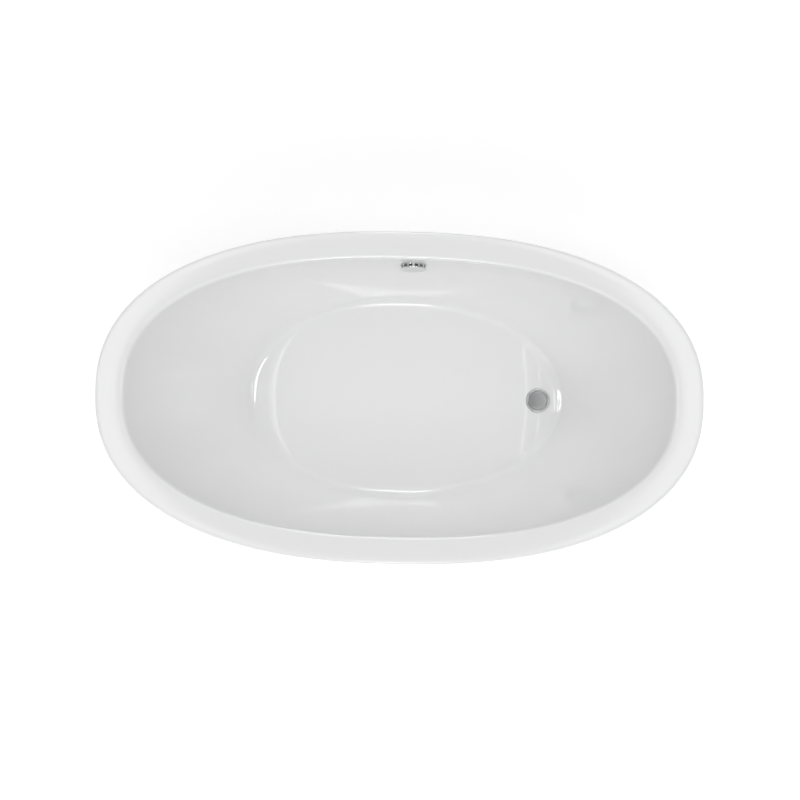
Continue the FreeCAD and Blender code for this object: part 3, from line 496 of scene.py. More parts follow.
class Field:
    """A shader socket or number that can stand in a Python expression."""

    def __init__(self, finish, socket):
        self.finish = finish
        self.socket = socket

    def _math(self, operation, first, second):
        return self.finish.node("ShaderNodeMath", {"operation": operation}, first, second)

    def __add__(self, other):
        return self._math("ADD", self, other)

    def __radd__(self, other):
        return self._math("ADD", other, self)

    def __sub__(self, other):
        return self._math("SUBTRACT", self, other)

    def __rsub__(self, other):
        return self._math("SUBTRACT", other, self)

    def __mul__(self, other):
        return self._math("MULTIPLY", self, other)

    def __rmul__(self, other):
        return self._math("MULTIPLY", other, self)

    def __truediv__(self, other):
        return self._math("DIVIDE", self, other)

    def __pow__(self, other):
        return self._math("POWER", self, other)

    def step(self, low, high):
        """Rises smoothly from 0 at low to 1 at high."""
        settings = {"interpolation_type": "SMOOTHSTEP"}
        return self.finish.node("ShaderNodeMapRange", settings, self, low, high)

    def between(self, low, high, soft):
        """1 between low and high, with soft ends."""
        return self.step(low - soft, low + soft) * (1.0 - self.step(high - soft, high + soft))


class Nodes:
    """A node tree under construction."""

    def __init__(self, tree):
        self.tree = tree

    def node(self, kind, settings, *values, output=0, **sockets):
        """Adds a node: its settings first, then its sockets by order or by name."""
        node = self.tree.nodes.new(kind)
        for key, value in settings.items():
            setattr(node, key, value)
        named_values = {key.replace("_", " "): value for key, value in sockets.items()}
        for key, value in list(enumerate(values)) + list(named_values.items()):
            if isinstance(value, Field):
                self.tree.links.new(value.socket, node.inputs[key])
            elif value is not None:
                node.inputs[key].default_value = value
        return Field(self, node.outputs[output])

    def mix(self, factor, first, second):
        """A colour between two colours."""
        node = self.tree.nodes.new("ShaderNodeMix")
        node.data_type = "RGBA"
        for index, value in ((0, factor), (6, first), (7, second)):
            if isinstance(value, Field):
                self.tree.links.new(value.socket, node.inputs[index])
            else:
                node.inputs[index].default_value = value
        return Field(self, node.outputs[2])


class Finish(Nodes):
    """A material under construction, with its Principled shader."""

    def __init__(self, name, **constants):
        self.material = bpy.data.materials.new(name)
        self.material.use_nodes = True
        super().__init__(self.material.node_tree)
        self.shader = self.tree.nodes["Principled BSDF"]
        self.place = self.node("ShaderNodeTexCoord", {}, output="Object")
        for key, value in constants.items():
            self.shader.inputs[key.replace("_", " ")].default_value = value

    def noise(self, scale, detail=2.0, roughness=0.5):
        return self.node("ShaderNodeTexNoise", {}, Vector=self.place, Scale=scale, Detail=detail,
                         Roughness=roughness)

    def feed(self, name, field):
        self.tree.links.new(field.socket, self.shader.inputs[name])
        return self

    def bump(self, height, strength, distance):
        normal = self.node("ShaderNodeBump", {}, Height=height, Strength=strength, Distance=distance)
        return self.feed("Normal", normal)


def shade(colour, factor):
    return tuple(channel * factor for channel in colour[:3]) + (1.0,)


def acrylic(name, colour):
    """Polished white sanitary acrylic: faint cloudiness, orange peel and fine wear in its gloss."""
    finish = Finish(name, Coat_Weight=0.25, Coat_Roughness=0.03, IOR=1.49)
    cloud = finish.noise(3.0, 3.0)
    finish.feed("Base Color", finish.mix(cloud, shade(colour, 0.99), shade(colour, 1.005)))
    finish.feed("Roughness", 0.045 + 0.04 * finish.noise(14.0, 4.0))
    finish.bump(finish.noise(160.0, 1.0), 0.02, 0.001)
    return finish.material


def chrome(name, colour, roughness=0.07):
    """Polished chrome plating with faint wiping marks."""
    finish = Finish(name, Metallic=1.0)
    haze = finish.noise(45.0, 5.0, 0.65)
    finish.feed("Base Color", finish.mix(haze, shade(colour, 0.96), shade(colour, 1.03)))
    finish.feed("Roughness", roughness + 0.06 * haze)
    finish.bump(finish.noise(900.0, 2.0), 0.015, 0.0005)
    return finish.material


def metal(name, colour, roughness):
    """Plated or bare metal with blotchy gloss."""
    finish = Finish(name, Metallic=1.0)
    cloud = finish.noise(60.0, 4.0, 0.6)
    finish.feed("Base Color", finish.mix(cloud, shade(colour, 0.86), shade(colour, 1.08)))
    finish.feed("Roughness", roughness + 0.12 * cloud)
    finish.bump(finish.noise(720.0, 2.0), 0.05, 0.0005)
    return finish.material


def galvanised(name):
    """Hot-dip zinc: large dull crystals with their own shades and gloss."""
    finish = Finish(name, Metallic=0.9)
    crystal = finish.node("ShaderNodeTexVoronoi", {}, output=1, Vector=finish.place, Scale=110.0)
    grey = finish.node("ShaderNodeSeparateColor", {}, crystal)
    finish.feed("Base Color", finish.mix(grey, (0.42, 0.43, 0.44, 1.0), (0.62, 0.63, 0.64, 1.0)))
    finish.feed("Roughness", 0.34 + 0.2 * grey)
    finish.bump(finish.noise(400.0, 3.0), 0.08, 0.0005)
    return finish.material


def plastic(name, colour, roughness):
    """Moulded plastic with a fine spark-eroded grain."""
    finish = Finish(name)
    cloud = finish.noise(25.0, 3.0)
    finish.feed("Base Color", finish.mix(cloud, shade(colour, 0.93), shade(colour, 1.05)))
    finish.feed("Roughness", roughness + 0.12 * cloud)
    finish.bump(finish.noise(500.0, 2.0), 0.12, 0.0004)
    return finish.material


def rubber(name):
    """Dull sealing rubber with a dusty bloom."""
    finish = Finish(name)
    bloom = finish.noise(80.0, 5.0, 0.7)
    finish.feed("Base Color", finish.mix(bloom, BLACK, shade(BLACK, 2.2)))
    finish.feed("Roughness", 0.62 + 0.25 * bloom)
    finish.bump(finish.noise(700.0, 2.0), 0.15, 0.0004)
    return finish.material


def chipboard(name):
    """Pressed chips under a thin coat of resin."""
    finish = Finish(name)
    chips = finish.node("ShaderNodeTexVoronoi", {}, output=1, Vector=finish.place, Scale=190.0)
    tone = finish.node("ShaderNodeSeparateColor", {}, chips)
    resin = finish.noise(7.0, 4.0, 0.6)
    wood = finish.mix(tone, (0.30, 0.20, 0.11, 1.0), (0.62, 0.47, 0.29, 1.0))
    finish.feed("Base Color", finish.mix(resin * 0.45, wood, (0.72, 0.68, 0.58, 1.0)))
    finish.feed("Roughness", 0.72 - 0.3 * resin)
    finish.bump(tone + 0.4 * finish.noise(600.0, 2.0), 0.2, 0.0006)
    return finish.material


def adhesive(name):
    """A cured bead of sealant, slightly lumpy."""
    finish = Finish(name)
    lumps = finish.noise(60.0, 3.0)
    finish.feed("Base Color", finish.mix(lumps, (0.66, 0.65, 0.60, 1.0), (0.78, 0.77, 0.72, 1.0)))
    finish.feed("Roughness", 0.45 + 0.2 * lumps)
    finish.bump(lumps, 0.5, 0.002)
    return finish.material


# --------------------------------------------------------------------------- operators


def upright(node, z=0.0):
    """The place at a height on a node's vertical axis."""
    low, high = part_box(node)
    return Matrix.Translation(((low[0] + high[0]) / 2.0, (low[1] + high[1]) / 2.0, z))


def overflow_place(context):
    """The overflow's frame: its own Z axis leaves the wall into the well."""
    low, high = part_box("overflow_cap")
    lean = context.scene.tub_fittings.overflow_lean
    away = Vector((0.0, -math.cos(lean), math.sin(lean)))
    middle = (Vector(low) + Vector(high)) / 2.0 - away * (COVER_FOOT + COVER_FRONT) / 2.0 * MM
    return Matrix.Translation(middle) @ Matrix.Rotation(math.pi / 2.0 - lean, 4, "X")


class TUB_OT_basin(bpy.types.Operator):
    """Makes the inner shell: rim, lip, walls, dished floor and its two holes"""

    bl_idname = "tub.basin"
    bl_label = "Basin"
    crease_softness, wall_softness, rim_softness, edge_softness = 0.012, 0.010, 0.008, 0.001
    back_softness, under_softness = 0.002, 0.004
    end_wall, side_wall = 0.0075, 0.0062
    floor_thickness, floor_margin = 0.014, 0.008
    ring_spacing, rings_per_corner = 0.020, 3
    hole_radius, drain_mouth, drain_seat, overflow_seat = 23, 29.2, 36.5, 37
    overflow_depth = -1.2
    reach = 30

    def execute(self, context):
        shell_settings = context.scene.tub_shell
        well = Well(shell_settings, SECTION_POINTS)
        top, crease = well.top, well.crease
        lip_low = top - shell_settings.lip_drop
        wall = shell_settings.lip_wall
        outline = Outline()
        outline.add(well.floor(shell_settings.floor_level, 0.0, 0.0))
        for share in np.linspace(0.1, 1.0, 10):
            outline.add(well.floor(shell_settings.floor_level, 0.0, share), self.crease_softness)
        for share in np.linspace(0.25, 1.0, 4):
            outline.add(well.dish(share), self.crease_softness)
        for depth in np.linspace(1.0, 0.0, 21)[1:]:
            outline.add(well.wall(depth), self.wall_softness)
        outline.add(well.rim(top, 0.0), self.rim_softness)
        for level, inset in ((lip_low, 0.0), (lip_low, wall), (top - wall, wall)):
            outline.add(well.rim(level, inset), self.edge_softness)
        for depth in np.linspace(wall / (top - crease), 1.0, 12):
            outline.add(well.wall(depth, self.end_wall, self.side_wall), self.back_softness)
        under = shell_settings.floor_level - self.floor_thickness
        outline.add(well.floor(under, self.floor_margin), self.under_softness)
        outline.add(well.floor(under, self.floor_margin, 0.0))
        surface = outline.settle(self.ring_spacing, self.rings_per_corner).surface()
        inner = surface[:, :, 2] < crease + MM
        first_out = int(np.argmax(surface[:, 0, 2] > top - MM))
        for k in range(first_out):
            surface[k, :, 2] -= np.where(inner[k], well.sump_drop(surface[k]), 0.0)
        basin = carve(wrapped("basin_shell", surface), *self.tools(context))
        finished(basin, 30.0, acrylic("basin_acrylic", shell_settings.colour),
                 "tub", "basin_acrylic", "basin")
        return {"FINISHED"}

    def tools(self, context):
        """The drain's countersunk hole and seat, and the overflow's hole and spot face."""
        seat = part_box("flange_seal")[0][2] / MM
        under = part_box("drain_gasket")[1][2] / MM
        drain = turned("drain_tool", [
            (0, under - 20, 0), (self.hole_radius, under - 20, 0), (self.hole_radius, under, 0),
            (self.drain_mouth, seat - 1, 0), (self.drain_mouth, seat, 0), (self.drain_seat, seat, 0),
            (self.drain_seat, seat + 25, 0), (0, seat + 25, 0)], spacing=1.0)
        overflow = turned("overflow_tool", [
            (0, -self.reach, 0), (self.hole_radius, -self.reach, 0),
            (self.hole_radius, self.overflow_depth, 0), (self.overflow_seat, self.overflow_depth, 0),
            (self.overflow_seat, self.reach, 0), (0, self.reach, 0)], spacing=1.0)
        return place(drain, upright("drain_flange")), place(overflow, overflow_place(context))


class TUB_OT_skirt(bpy.types.Operator):
    """Makes the outer shell, with its neck inside the lip and its foot flange"""

    bl_idname = "tub.skirt"
    bl_label = "Skirt"
    wall = 0.005
    neck_inset = 0.008
    flange = 0.030
    softness, foot_softness, edge_softness, neck_softness = 0.004, 0.003, 0.001, 0.0005
    foot_rise = 0.006
    base_half_length, base_half_width = 0.600, 0.345
    # the skirt's acrylic is painted 6% darker than the basin's: painted shade that keeps it from burning out
    # against the glowing floor
    shading = 0.94

    def section(self, shell_settings, fall, inset):
        """The skirt's section from under the lip (fall 0) to its foot (fall 1)."""
        share = 0.45 * fall + 0.55 * fall ** 2
        reach = blend(BASIN_HIGH[0] - self.neck_inset, self.base_half_length, share) - inset
        half = blend(BASIN_HIGH[1] - self.neck_inset, self.base_half_width, share) - inset
        power = shell_settings.rim_shape
        z = blend(BASIN_HIGH[2] - shell_settings.lip_drop, SKIRT_LOW[2], fall)
        return oval(SECTION_POINTS, z, reach, reach, half, power, power, 0.0)

    def execute(self, context):
        shell_settings = context.scene.tub_shell
        top, bottom = SKIRT_HIGH[2], SKIRT_LOW[2]
        step = np.array([0.0, 0.0, 1.0])
        outline = Outline()
        for fall in np.linspace(0.5, 1.0, 9)[:-1]:
            outline.add(self.section(shell_settings, fall, 0.0), self.softness)
        outline.add(self.section(shell_settings, 1.0, 0.0), self.foot_softness)
        inner_edge = self.section(shell_settings, 1.0, self.flange)
        outline.add(inner_edge, self.edge_softness)
        outline.add(inner_edge + step * self.foot_rise, self.edge_softness)
        for fall in np.linspace(0.985, 0.0, 17):
            softness = self.foot_softness if fall > 0.98 else self.softness
            outline.add(self.section(shell_settings, fall, self.wall), softness)
        neck_in = self.section(shell_settings, 0.0, self.wall)
        neck_out = self.section(shell_settings, 0.0, 0.0)
        rise = step * (top - neck_in[0, 2])
        outline.add(neck_in + rise, self.neck_softness)
        outline.add(neck_out + rise, self.neck_softness)
        for fall in np.linspace(0.0, 0.5, 9):
            outline.add(self.section(shell_settings, fall, 0.0), self.softness)
        # a darker copy of the basin's acrylic: painted shade
        material = acrylic("skirt_acrylic", shade(shell_settings.colour, self.shading))
        finished(wrapped("skirt_shell", closed_loop(outline, 0.012)), 30.0, material,
                 "tub", "skirt_acrylic", "skirt")
        return {"FINISHED"}


class TUB_OT_drain(bpy.types.Operator):
    """Makes the chromed drain flange with its throat, barrel and spider"""

    bl_idname = "tub.drain"
    bl_label = "Drain flange"

    def execute(self, context):
        low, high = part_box("drain_flange")
        base, top = low[2] / MM, high[2] / MM
        under = top - 3.0
        ring = turned("drain_ring", [
            (19.5, base, 0.3), (22, base, 0.3), (22, under - 7, 0.5), (28.6, under - 2, 0.5),
            (28.6, under, 0.1), (35.5, under, 0.3), (35.5, under + 0.8, 0.4), (32.5, top, 1.2),
            (28.4, top, 0.5), (27.2, top - 1, 0.5), (26.8, under - 1.5, 0.5), (19.5, under - 6, 0.6)],
            count=128, spacing=0.003)
        hub = turned("drain_hub", [(6.5, base + 6, 0.3), (9, base + 6, 0.5), (9, base + 12, 0.5),
                                   (6.5, base + 12, 0.3)], count=48)
        arms = []
        for k in range(4):
            arm = bar("drain_arm", (0.0085, -0.0015, (base + 6) * MM), (0.0205, 0.0015, (base + 12) * MM),
                      0.0004)
            arms.append(place(arm, Matrix.Rotation(math.radians(90.0 * k), 4, "Z")))
        drain = joined("drain_fitting", ring, hub, *arms)
        material = chrome("drain_chrome", context.scene.tub_fittings.chrome)
        finished(place(drain, upright("drain_flange")), 40.0, material, "tub", "chrome", "drain_flange")
        return {"FINISHED"}


class TUB_OT_stopper(bpy.types.Operator):
    """Makes the stopper: chromed disc and seal"""

    bl_idname = "tub.stopper"
    bl_label = "Stopper"

    def execute(self, context):
        low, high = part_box("stopper_cap")
        under, top = low[2] / MM, high[2] / MM
        cap = turned("stopper_disc", [
            (0, under, 0), (24.4, under, 0.4), (26, under + 1.5, 0.5), (26, top - 1.3, 0.9),
            (24.9, top - 0.08, 0.5), (12, top, 1.0), (0, top, 0)], count=128, spacing=0.002)
        material = chrome("stopper_chrome", context.scene.tub_fittings.chrome, 0.10)
        finished(place(cap, upright("drain_flange")), 60.0, material, "stopper", "chrome", "stopper_cap")
        seal = turned("stopper_washer", [
            (4, under - 5, 0.2), (21.4, under - 5, 0.5), (23.2, under - 3, 0.6), (23.2, under, 0.3),
            (4, under, 0.1)], count=96)
        finished(place(seal, upright("drain_flange")), 40.0, rubber("stopper_rubber"),
                 "stopper", "seal_rubber", "stopper_seal")
        return {"FINISHED"}


class TUB_OT_overflow(bpy.types.Operator):
    """Makes the overflow's round cover, pierced by windows all round its rim"""

    bl_idname = "tub.overflow"
    bl_label = "Overflow cover"
    per_window = 12
    open_share = 8
    sill, head = 3.5, 9.5
    wall = 0.0035
    edge = 0.0003

    def execute(self, context):
        windows = context.scene.tub_fittings.windows
        count = windows * self.per_window
        radius, front = COVER_RADIUS, COVER_FRONT
        fresh_start()
        bpy.ops.mesh.primitive_circle_add(vertices=count, radius=radius * MM,
                                          location=(0.0, 0.0, COVER_FOOT * MM))
        cover = named(bpy.context.active_object, "overflow_cover")
        bpy.ops.object.transform_apply(location=True)
        bpy.ops.object.mode_set(mode="EDIT")
        bpy.ops.mesh.select_all(action="SELECT")
        rise = 0.0
        for height, reach in ((self.sill, radius), (self.head, radius), (front - 2.2, radius),
                              (front - 1.2, radius - 0.3), (front - 0.5, radius - 1.1),
                              (front - 0.1, radius - 2.3), (front, radius - 4.0), (front, 16.0)):
            bpy.ops.mesh.extrude_region_move(
                TRANSFORM_OT_translate={"value": (0.0, 0.0, (height - COVER_FOOT - rise) * MM)})
            bpy.ops.transform.resize(value=(reach / radius, reach / radius, 1.0),
                                     center_override=(0.0, 0.0, height * MM))
            rise, radius = height - COVER_FOOT, reach
        bpy.ops.mesh.edge_face_add()
        bpy.ops.mesh.poke()
        self.pierce(cover, windows)
        bpy.ops.mesh.select_all(action="SELECT")
        bpy.ops.mesh.normals_make_consistent(inside=False)
        fresh_start()
        apply_modifier(cover, "SOLIDIFY", thickness=self.wall, offset=-1.0, use_even_offset=True)
        apply_modifier(cover, "BEVEL", width=self.edge, segments=2, limit_method="ANGLE",
                       angle_limit=math.radians(50.0))
        boss = turned("overflow_boss", [(2.5, 4, 0.2), (7, 4, 0.4), (7, 10.2, 0.2), (2.5, 10.2, 0.1)], 48)
        cover = joined("overflow_cover", cover, boss)
        material = chrome("overflow_chrome", context.scene.tub_fittings.chrome)
        finished(place(cover, overflow_place(context)), 40.0, material, "tub", "chrome", "overflow_cap")
        return {"FINISHED"}

    def pierce(self, cover, windows):
        """Deletes the wall's faces inside the windows, between the posts."""
        bpy.ops.mesh.select_mode(type="FACE")
        bpy.ops.mesh.select_all(action="DESELECT")
        mesh = bmesh.from_edit_mesh(cover.data)
        margin = (self.per_window - self.open_share) / 2.0 / self.per_window
        for face in mesh.faces:
            middle = face.calc_center_median()
            around = (math.atan2(middle.y, middle.x) - math.pi / 2.0) / (2.0 * math.pi) * windows
            share = around % 1.0
            level = self.sill * MM < middle.z < self.head * MM
            face.select = level and margin < share < 1.0 - margin
        bmesh.update_edit_mesh(cover.data)
        bpy.ops.mesh.delete(type="FACE")
        bpy.ops.mesh.select_mode(type="VERT")


def hexagon(count, across_flats, z, chamfer=0.0):
    """A ring of a hexagon's outline; a chamfer drops its corners as a cone would."""
    angle = 2.0 * math.pi * np.arange(count) / count
    apothem = across_flats / 2.0
    reach = apothem / np.cos((angle % (math.pi / 3.0)) - math.pi / 6.0)
    height = z - chamfer * (reach - apothem)
    return np.stack([reach * np.cos(angle), reach * np.sin(angle), height], axis=1)


def hex_nut(name, across_flats, height, bore):
    """A chamfered hexagon nut from z = 0 up, in metres."""
    count = 72
    outline = Outline()
    middle = circle(count, bore, height / 2.0)
    lead, edge, slope = 0.0008, 0.0002, 0.55
    face = across_flats / 2.0 - edge
    outline.add(middle)
    for ring in (circle(count, bore, height - lead), circle(count, bore + lead, height),
                 circle(count, face, height), hexagon(count, across_flats, height - edge, slope),
                 hexagon(count, across_flats, edge, -slope), circle(count, face, 0.0),
                 circle(count, bore + lead, 0.0), circle(count, bore, lead)):
        outline.add(ring, edge)
    outline.add(middle)
    return smooth(wrapped(name, closed_loop(outline, 0.004, 2)), 30.0)


class TUB_OT_feet(bpy.types.Operator):
    """Makes the levelling feet: pads, threaded studs, lock nuts and weld nuts"""

    bl_idname = "tub.feet"
    bl_label = "Levelling feet"
    across_flats, nut_bore = 18.0 * MM, 6.1 * MM
    radius, pitch, groove = 6.0 * MM, 1.75 * MM, 0.9 * MM
    tip_taper, tip_length = 0.8 * MM, 1.5 * MM
    collar_flats, collar_height, collar_bore, collar_level = 17.0 * MM, 8.0 * MM, 5.0 * MM, 22.0 * MM

    def execute(self, context):
        black = plastic("foot_plastic", BLACK, 0.48)
        zinc = metal("bright_zinc", (0.66, 0.67, 0.66, 1.0), 0.26)
        for number in FEET:
            axis = "foot_%d_pad" % number
            pad = turned("foot_%d_base" % number, [
                (0, 0, 0), (26, 0, 0.8), (26.6, 0.6, 0.3), (30, 0.6, 0.6), (30, 5, 1.2), (26, 8, 1.5),
                (16, 14, 1.0), (6.2, 14, 0.4), (6.2, 5, 0.2), (0, 5, 0)], count=72)
            finished(place(pad, upright(axis)), 40.0, black,
                     "foot_%d" % number, "foot_plastic", "foot_%d_pad" % number)
            stud = joined("foot_%d_screw" % number, self.thread(number), self.collar())
            finished(place(stud, upright(axis)), 30.0, zinc,
                     "stud_%d" % number, "zinc", "foot_%d_stud" % number)
            low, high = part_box("foot_%d_lock_nut" % number)
            nut = hex_nut("foot_%d_nut" % number, self.across_flats, high[2] - low[2], self.nut_bore)
            wear(place(nut, upright(axis, low[2])), zinc)
            stand_for(nut, "tub", "zinc", "foot_%d_lock_nut" % number)
        low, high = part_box("weld_nuts")
        nut = hex_nut("weld_nut", self.across_flats, high[2] - low[2], self.nut_bore)
        nuts = copies(nut, "weld_nut_set", [upright("foot_%d_pad" % number, low[2]) for number in FEET])
        wear(nuts, zinc)
        stand_for(nuts, "tub", "zinc", "weld_nuts")
        return {"FINISHED"}

    def thread(self, number):
        """A threaded rod: the groove's depth follows the angle and the height."""
        low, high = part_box("foot_%d_stud" % number)
        count, per_pitch = 32, 4
        rings = int((high[2] - low[2]) / self.pitch * per_pitch)
        height = np.linspace(low[2], high[2], rings)
        turn = np.arange(count) / count
        phase = (height[:, None] / self.pitch - turn[None, :]) % 1.0
        depth = 2.0 * np.abs(phase - 0.5)
        ends = np.minimum(height - low[2], high[2] - height)[:, None]
        taper = self.tip_taper * np.clip(1.0 - ends / self.tip_length, 0.0, 1.0)
        reach = self.radius - self.groove * depth - taper
        surface = np.stack([reach * np.cos(2.0 * math.pi * turn), reach * np.sin(2.0 * math.pi * turn),
                            np.broadcast_to(height[:, None], reach.shape)], axis=2)
        bottom = np.zeros((1, count, 3)) + [0.0, 0.0, low[2]]
        top = np.zeros((1, count, 3)) + [0.0, 0.0, high[2]]
        return wrapped("thread", np.concatenate([bottom, surface, top]))

    def collar(self):
        """The hexagon that a spanner turns."""
        collar = hex_nut("collar", self.collar_flats, self.collar_height, self.collar_bore)
        return place(collar, Matrix.Translation((0.0, 0.0, self.collar_level)))


class TUB_OT_hose(bpy.types.Operator):
    """Makes the corrugated overflow hose"""

    bl_idname = "tub.hose"
    bl_label = "Overflow hose"
    route = (
        (0.0320, 0.4028, 0.4520), (0.0320, 0.4028, 0.4180), (0.0340, 0.3960, 0.3600),
        (0.0380, 0.3770, 0.2920), (0.0460, 0.3570, 0.2260), (0.0600, 0.3380, 0.1700),
        (0.0920, 0.3120, 0.1220), (0.1420, 0.2720, 0.0960), (0.1960, 0.2280, 0.0840),
        (0.2500, 0.1780, 0.0790), (0.3040, 0.1280, 0.0770), (0.3445, 0.0665, 0.0760),
        (0.3742, 0.0368, 0.0760))
    radius = 0.015
    wave, wave_depth = 0.0040, 0.0009
    rings_per_wave, around = 6, 28
    plain_end, run_in = 0.020, 0.006
    level = (0.35, -0.35, 0.87)

    def line(self):
        """Points along the route's smooth line, evenly spaced."""
        curve = bpy.data.curves.new("hose_line", "CURVE")
        curve.dimensions = "3D"
        spline = curve.splines.new("NURBS")
        spline.points.add(len(self.route) - 1)
        for point, place_ in zip(spline.points, self.route):
            point.co = (*place_, 1.0)
        spline.order_u = 3
        spline.use_endpoint_u = True
        spline.resolution_u = 24
        holder = bpy.data.objects.new("hose_line", curve)
        bpy.context.collection.objects.link(holder)
        mesh = bpy.data.meshes.new_from_object(holder)
        points = np.array([vert.co[:] for vert in mesh.vertices])
        bpy.data.objects.remove(holder, do_unlink=True)
        length = np.concatenate([[0.0], np.cumsum(np.linalg.norm(np.diff(points, axis=0), axis=1))])
        count = int(length[-1] / self.wave * self.rings_per_wave)
        even = np.linspace(0.0, length[-1], count)
        return even, np.stack([np.interp(even, length, points[:, k]) for k in range(3)], axis=1)

    def execute(self, context):
        along, points = self.line()
        tangent = np.gradient(points, along, axis=0)
        tangent /= np.linalg.norm(tangent, axis=1)[:, None]
        side = np.cross(tangent, self.level)
        side /= np.linalg.norm(side, axis=1)[:, None]
        upward = np.cross(side, tangent)
        ends = np.minimum(along, along[-1] - along)
        depth = self.wave_depth * smooth_step((ends - self.plain_end) / self.run_in)
        reach = self.radius - depth * (1.0 - np.cos(2.0 * math.pi * along / self.wave))
        angle = 2.0 * math.pi * np.arange(self.around) / self.around
        surface = points[:, None] + reach[:, None, None] * (
            np.cos(angle)[None, :, None] * side[:, None] + np.sin(angle)[None, :, None] * upward[:, None])
        caps = [np.repeat(points[[k]][:, None], self.around, axis=1) for k in (0, -1)]
        hose = wrapped("corrugated_hose", np.concatenate([caps[0], surface, caps[1]]))
        finished(hose, 50.0, plastic("hose_plastic", (0.62, 0.63, 0.64, 1.0), 0.35),
                 "tub", "hose_plastic", "overflow_hose")
        return {"FINISHED"}


class TUB_OT_frame(bpy.types.Operator):
    """Makes the steel frame's tubes and their end caps"""

    bl_idname = "tub.frame"
    bl_label = "Frame"
    corner = 0.0035
    gauge = 0.0025
    stud_hole = 0.0065
    screw_hole = 0.0026
    screw_places = (-0.2, 0.0, 0.2)

    def square(self, half, corner):
        """A rounded square with its corners as arcs."""
        points = []
        for quarter in range(4):
            for angle in np.radians(np.linspace(0.0, 90.0, 6)) + quarter * math.pi / 2.0:
                centre = np.array([math.cos(quarter * math.pi / 2.0 + math.pi / 4.0),
                                   math.sin(quarter * math.pi / 2.0 + math.pi / 4.0)])
                centre = centre * math.sqrt(2.0) * (half - corner)
                points.append(centre + corner * np.array([math.cos(angle), math.sin(angle)]))
        return np.array(points)

    def tube(self, node):
        low, high = Vector(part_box(node)[0]), Vector(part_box(node)[1])
        size = high - low
        axis = 0 if size.x > size.y else 1
        middle = (low + high) / 2.0
        half = size.z / 2.0

        def ring(section, station):
            points = np.zeros((len(section), 3))
            points[:, axis] = station
            points[:, 1 - axis] = middle[1 - axis] + section[:, 0]
            points[:, 2] = middle.z + section[:, 1]
            return points

        outer = self.square(half, self.corner)
        inner = self.square(half - self.gauge, self.corner - self.gauge + 0.0005)
        outline = Outline()
        outline.add(ring(outer, middle[axis]))
        outline.add(ring(outer, high[axis]), 0.0003).add(ring(inner, high[axis]), 0.0003)
        outline.add(ring(inner, low[axis]), 0.0003).add(ring(outer, low[axis]), 0.0003)
        outline.add(ring(outer, middle[axis]))
        return wrapped(node + "_tube", closed_loop(outline, 0.05, 2))

    def drill(self, radius, x, y, low, high):
        """A tool for an upright hole in a tube."""
        fresh_start()
        bpy.ops.mesh.primitive_cylinder_add(vertices=32, radius=radius, depth=high - low,
                                            location=(x, y, (low + high) / 2.0))
        drill = named(bpy.context.active_object, "drill")
        bpy.ops.object.transform_apply(location=True)
        return drill

    def drilled(self, node):
        """A tube with the holes for the studs in its lower wall, and those for the board screws."""
        tube = self.tube(node)
        low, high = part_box(node)
        for number in FEET:
            x, y, _ = upright("foot_%d_pad" % number).translation
            if low[0] < x < high[0] and low[1] < y < high[1]:
                carve(tube, self.drill(self.stud_hole, x, y, low[2] - MM, low[2] + self.gauge + MM))
        if node.startswith("rail"):
            for x in self.screw_places:
                y = (low[1] + high[1]) / 2.0
                carve(tube, self.drill(self.screw_hole, x, y, low[2] - MM, high[2] + MM))
        return tube

    def execute(self, context):
        steel = galvanised("galvanised_tube")
        for node in ("rail_front", "rail_back", "crossbar_head", "crossbar_middle", "crossbar_foot"):
            finished(self.drilled(node), 40.0, steel, "tub", "frame_steel", node)
        low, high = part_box("rail_end_caps")
        plate, plug = 0.003, 0.012
        rail = Vector(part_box("rail_back")[1]) - Vector(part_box("rail_back")[0])
        caps = []
        for x in (low[0], high[0]):
            for y in (low[1], high[1]):
                away, side = math.copysign(1.0, x), math.copysign(1.0, y)
                near_y = y - side * rail.z
                face = sorted((x, x - away * plate))
                back = sorted((x - away * plate, x - away * (plate + plug)))
                edges = sorted((y, near_y))
                wall = self.gauge + 0.0006
                caps.append(bar("cap_plate", (face[0], edges[0], low[2]),
                                (face[1], edges[1], high[2]), 0.001))
                caps.append(bar("cap_plug", (back[0], edges[0] + wall, low[2] + wall),
                                (back[1], edges[1] - wall, high[2] - wall), 0.0008))
        finished(joined("rail_caps", *caps), 40.0, plastic("cap_plastic", BLACK, 0.48),
                 "tub", "foot_plastic", "rail_end_caps")
        return {"FINISHED"}


class TUB_OT_carried(bpy.types.Operator):
    """Gives the nodes that stay as they are their finishes"""

    bl_idname = "tub.carried"
    bl_label = "Carried-over pieces"

    def execute(self, context):
        white = plastic("white_plastic", (0.74, 0.74, 0.72, 1.0), 0.36)
        grey = plastic("grey_plastic", (0.16, 0.165, 0.17, 1.0), 0.44)
        seal = rubber("seal_rubber")
        brass = metal("turned_brass", (0.70, 0.53, 0.26, 1.0), 0.22)
        zinc = metal("screw_zinc", (0.66, 0.66, 0.62, 1.0), 0.3)
        finishes = {
            "rim_adhesive": adhesive("cured_adhesive"), "floor_board": chipboard("resin_board"),
            "skirt_stays": galvanised("galvanised_strip"), "board_screws": zinc, "stay_screws": zinc,
            "overflow_screw": zinc, "flange_seal": seal, "drain_gasket": seal, "outlet_seal": seal,
            "overflow_seal": seal, "overflow_gasket": seal, "hose_seal_upper": seal,
            "hose_seal_lower": seal, "drain_body": white, "overflow_elbow": white, "tailpiece": white,
            "outlet_nut": grey, "hose_nut_upper": grey, "hose_nut_lower": grey, "stopper_stem": brass,
            "click_cartridge": brass,
            # the overflow insert, brass in the model, is painted near-black: painted shade for the dark
            # hollow seen through the cover's windows
            "overflow_insert": metal("insert_painted_shade", (0.10, 0.10, 0.10, 1.0), 0.35),
            "click_spring": metal("spring_wire", (0.60, 0.60, 0.61, 1.0), 0.2),
        }
        for node, material in finishes.items():
            wear(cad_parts[node], material)
        return {"FINISHED"}


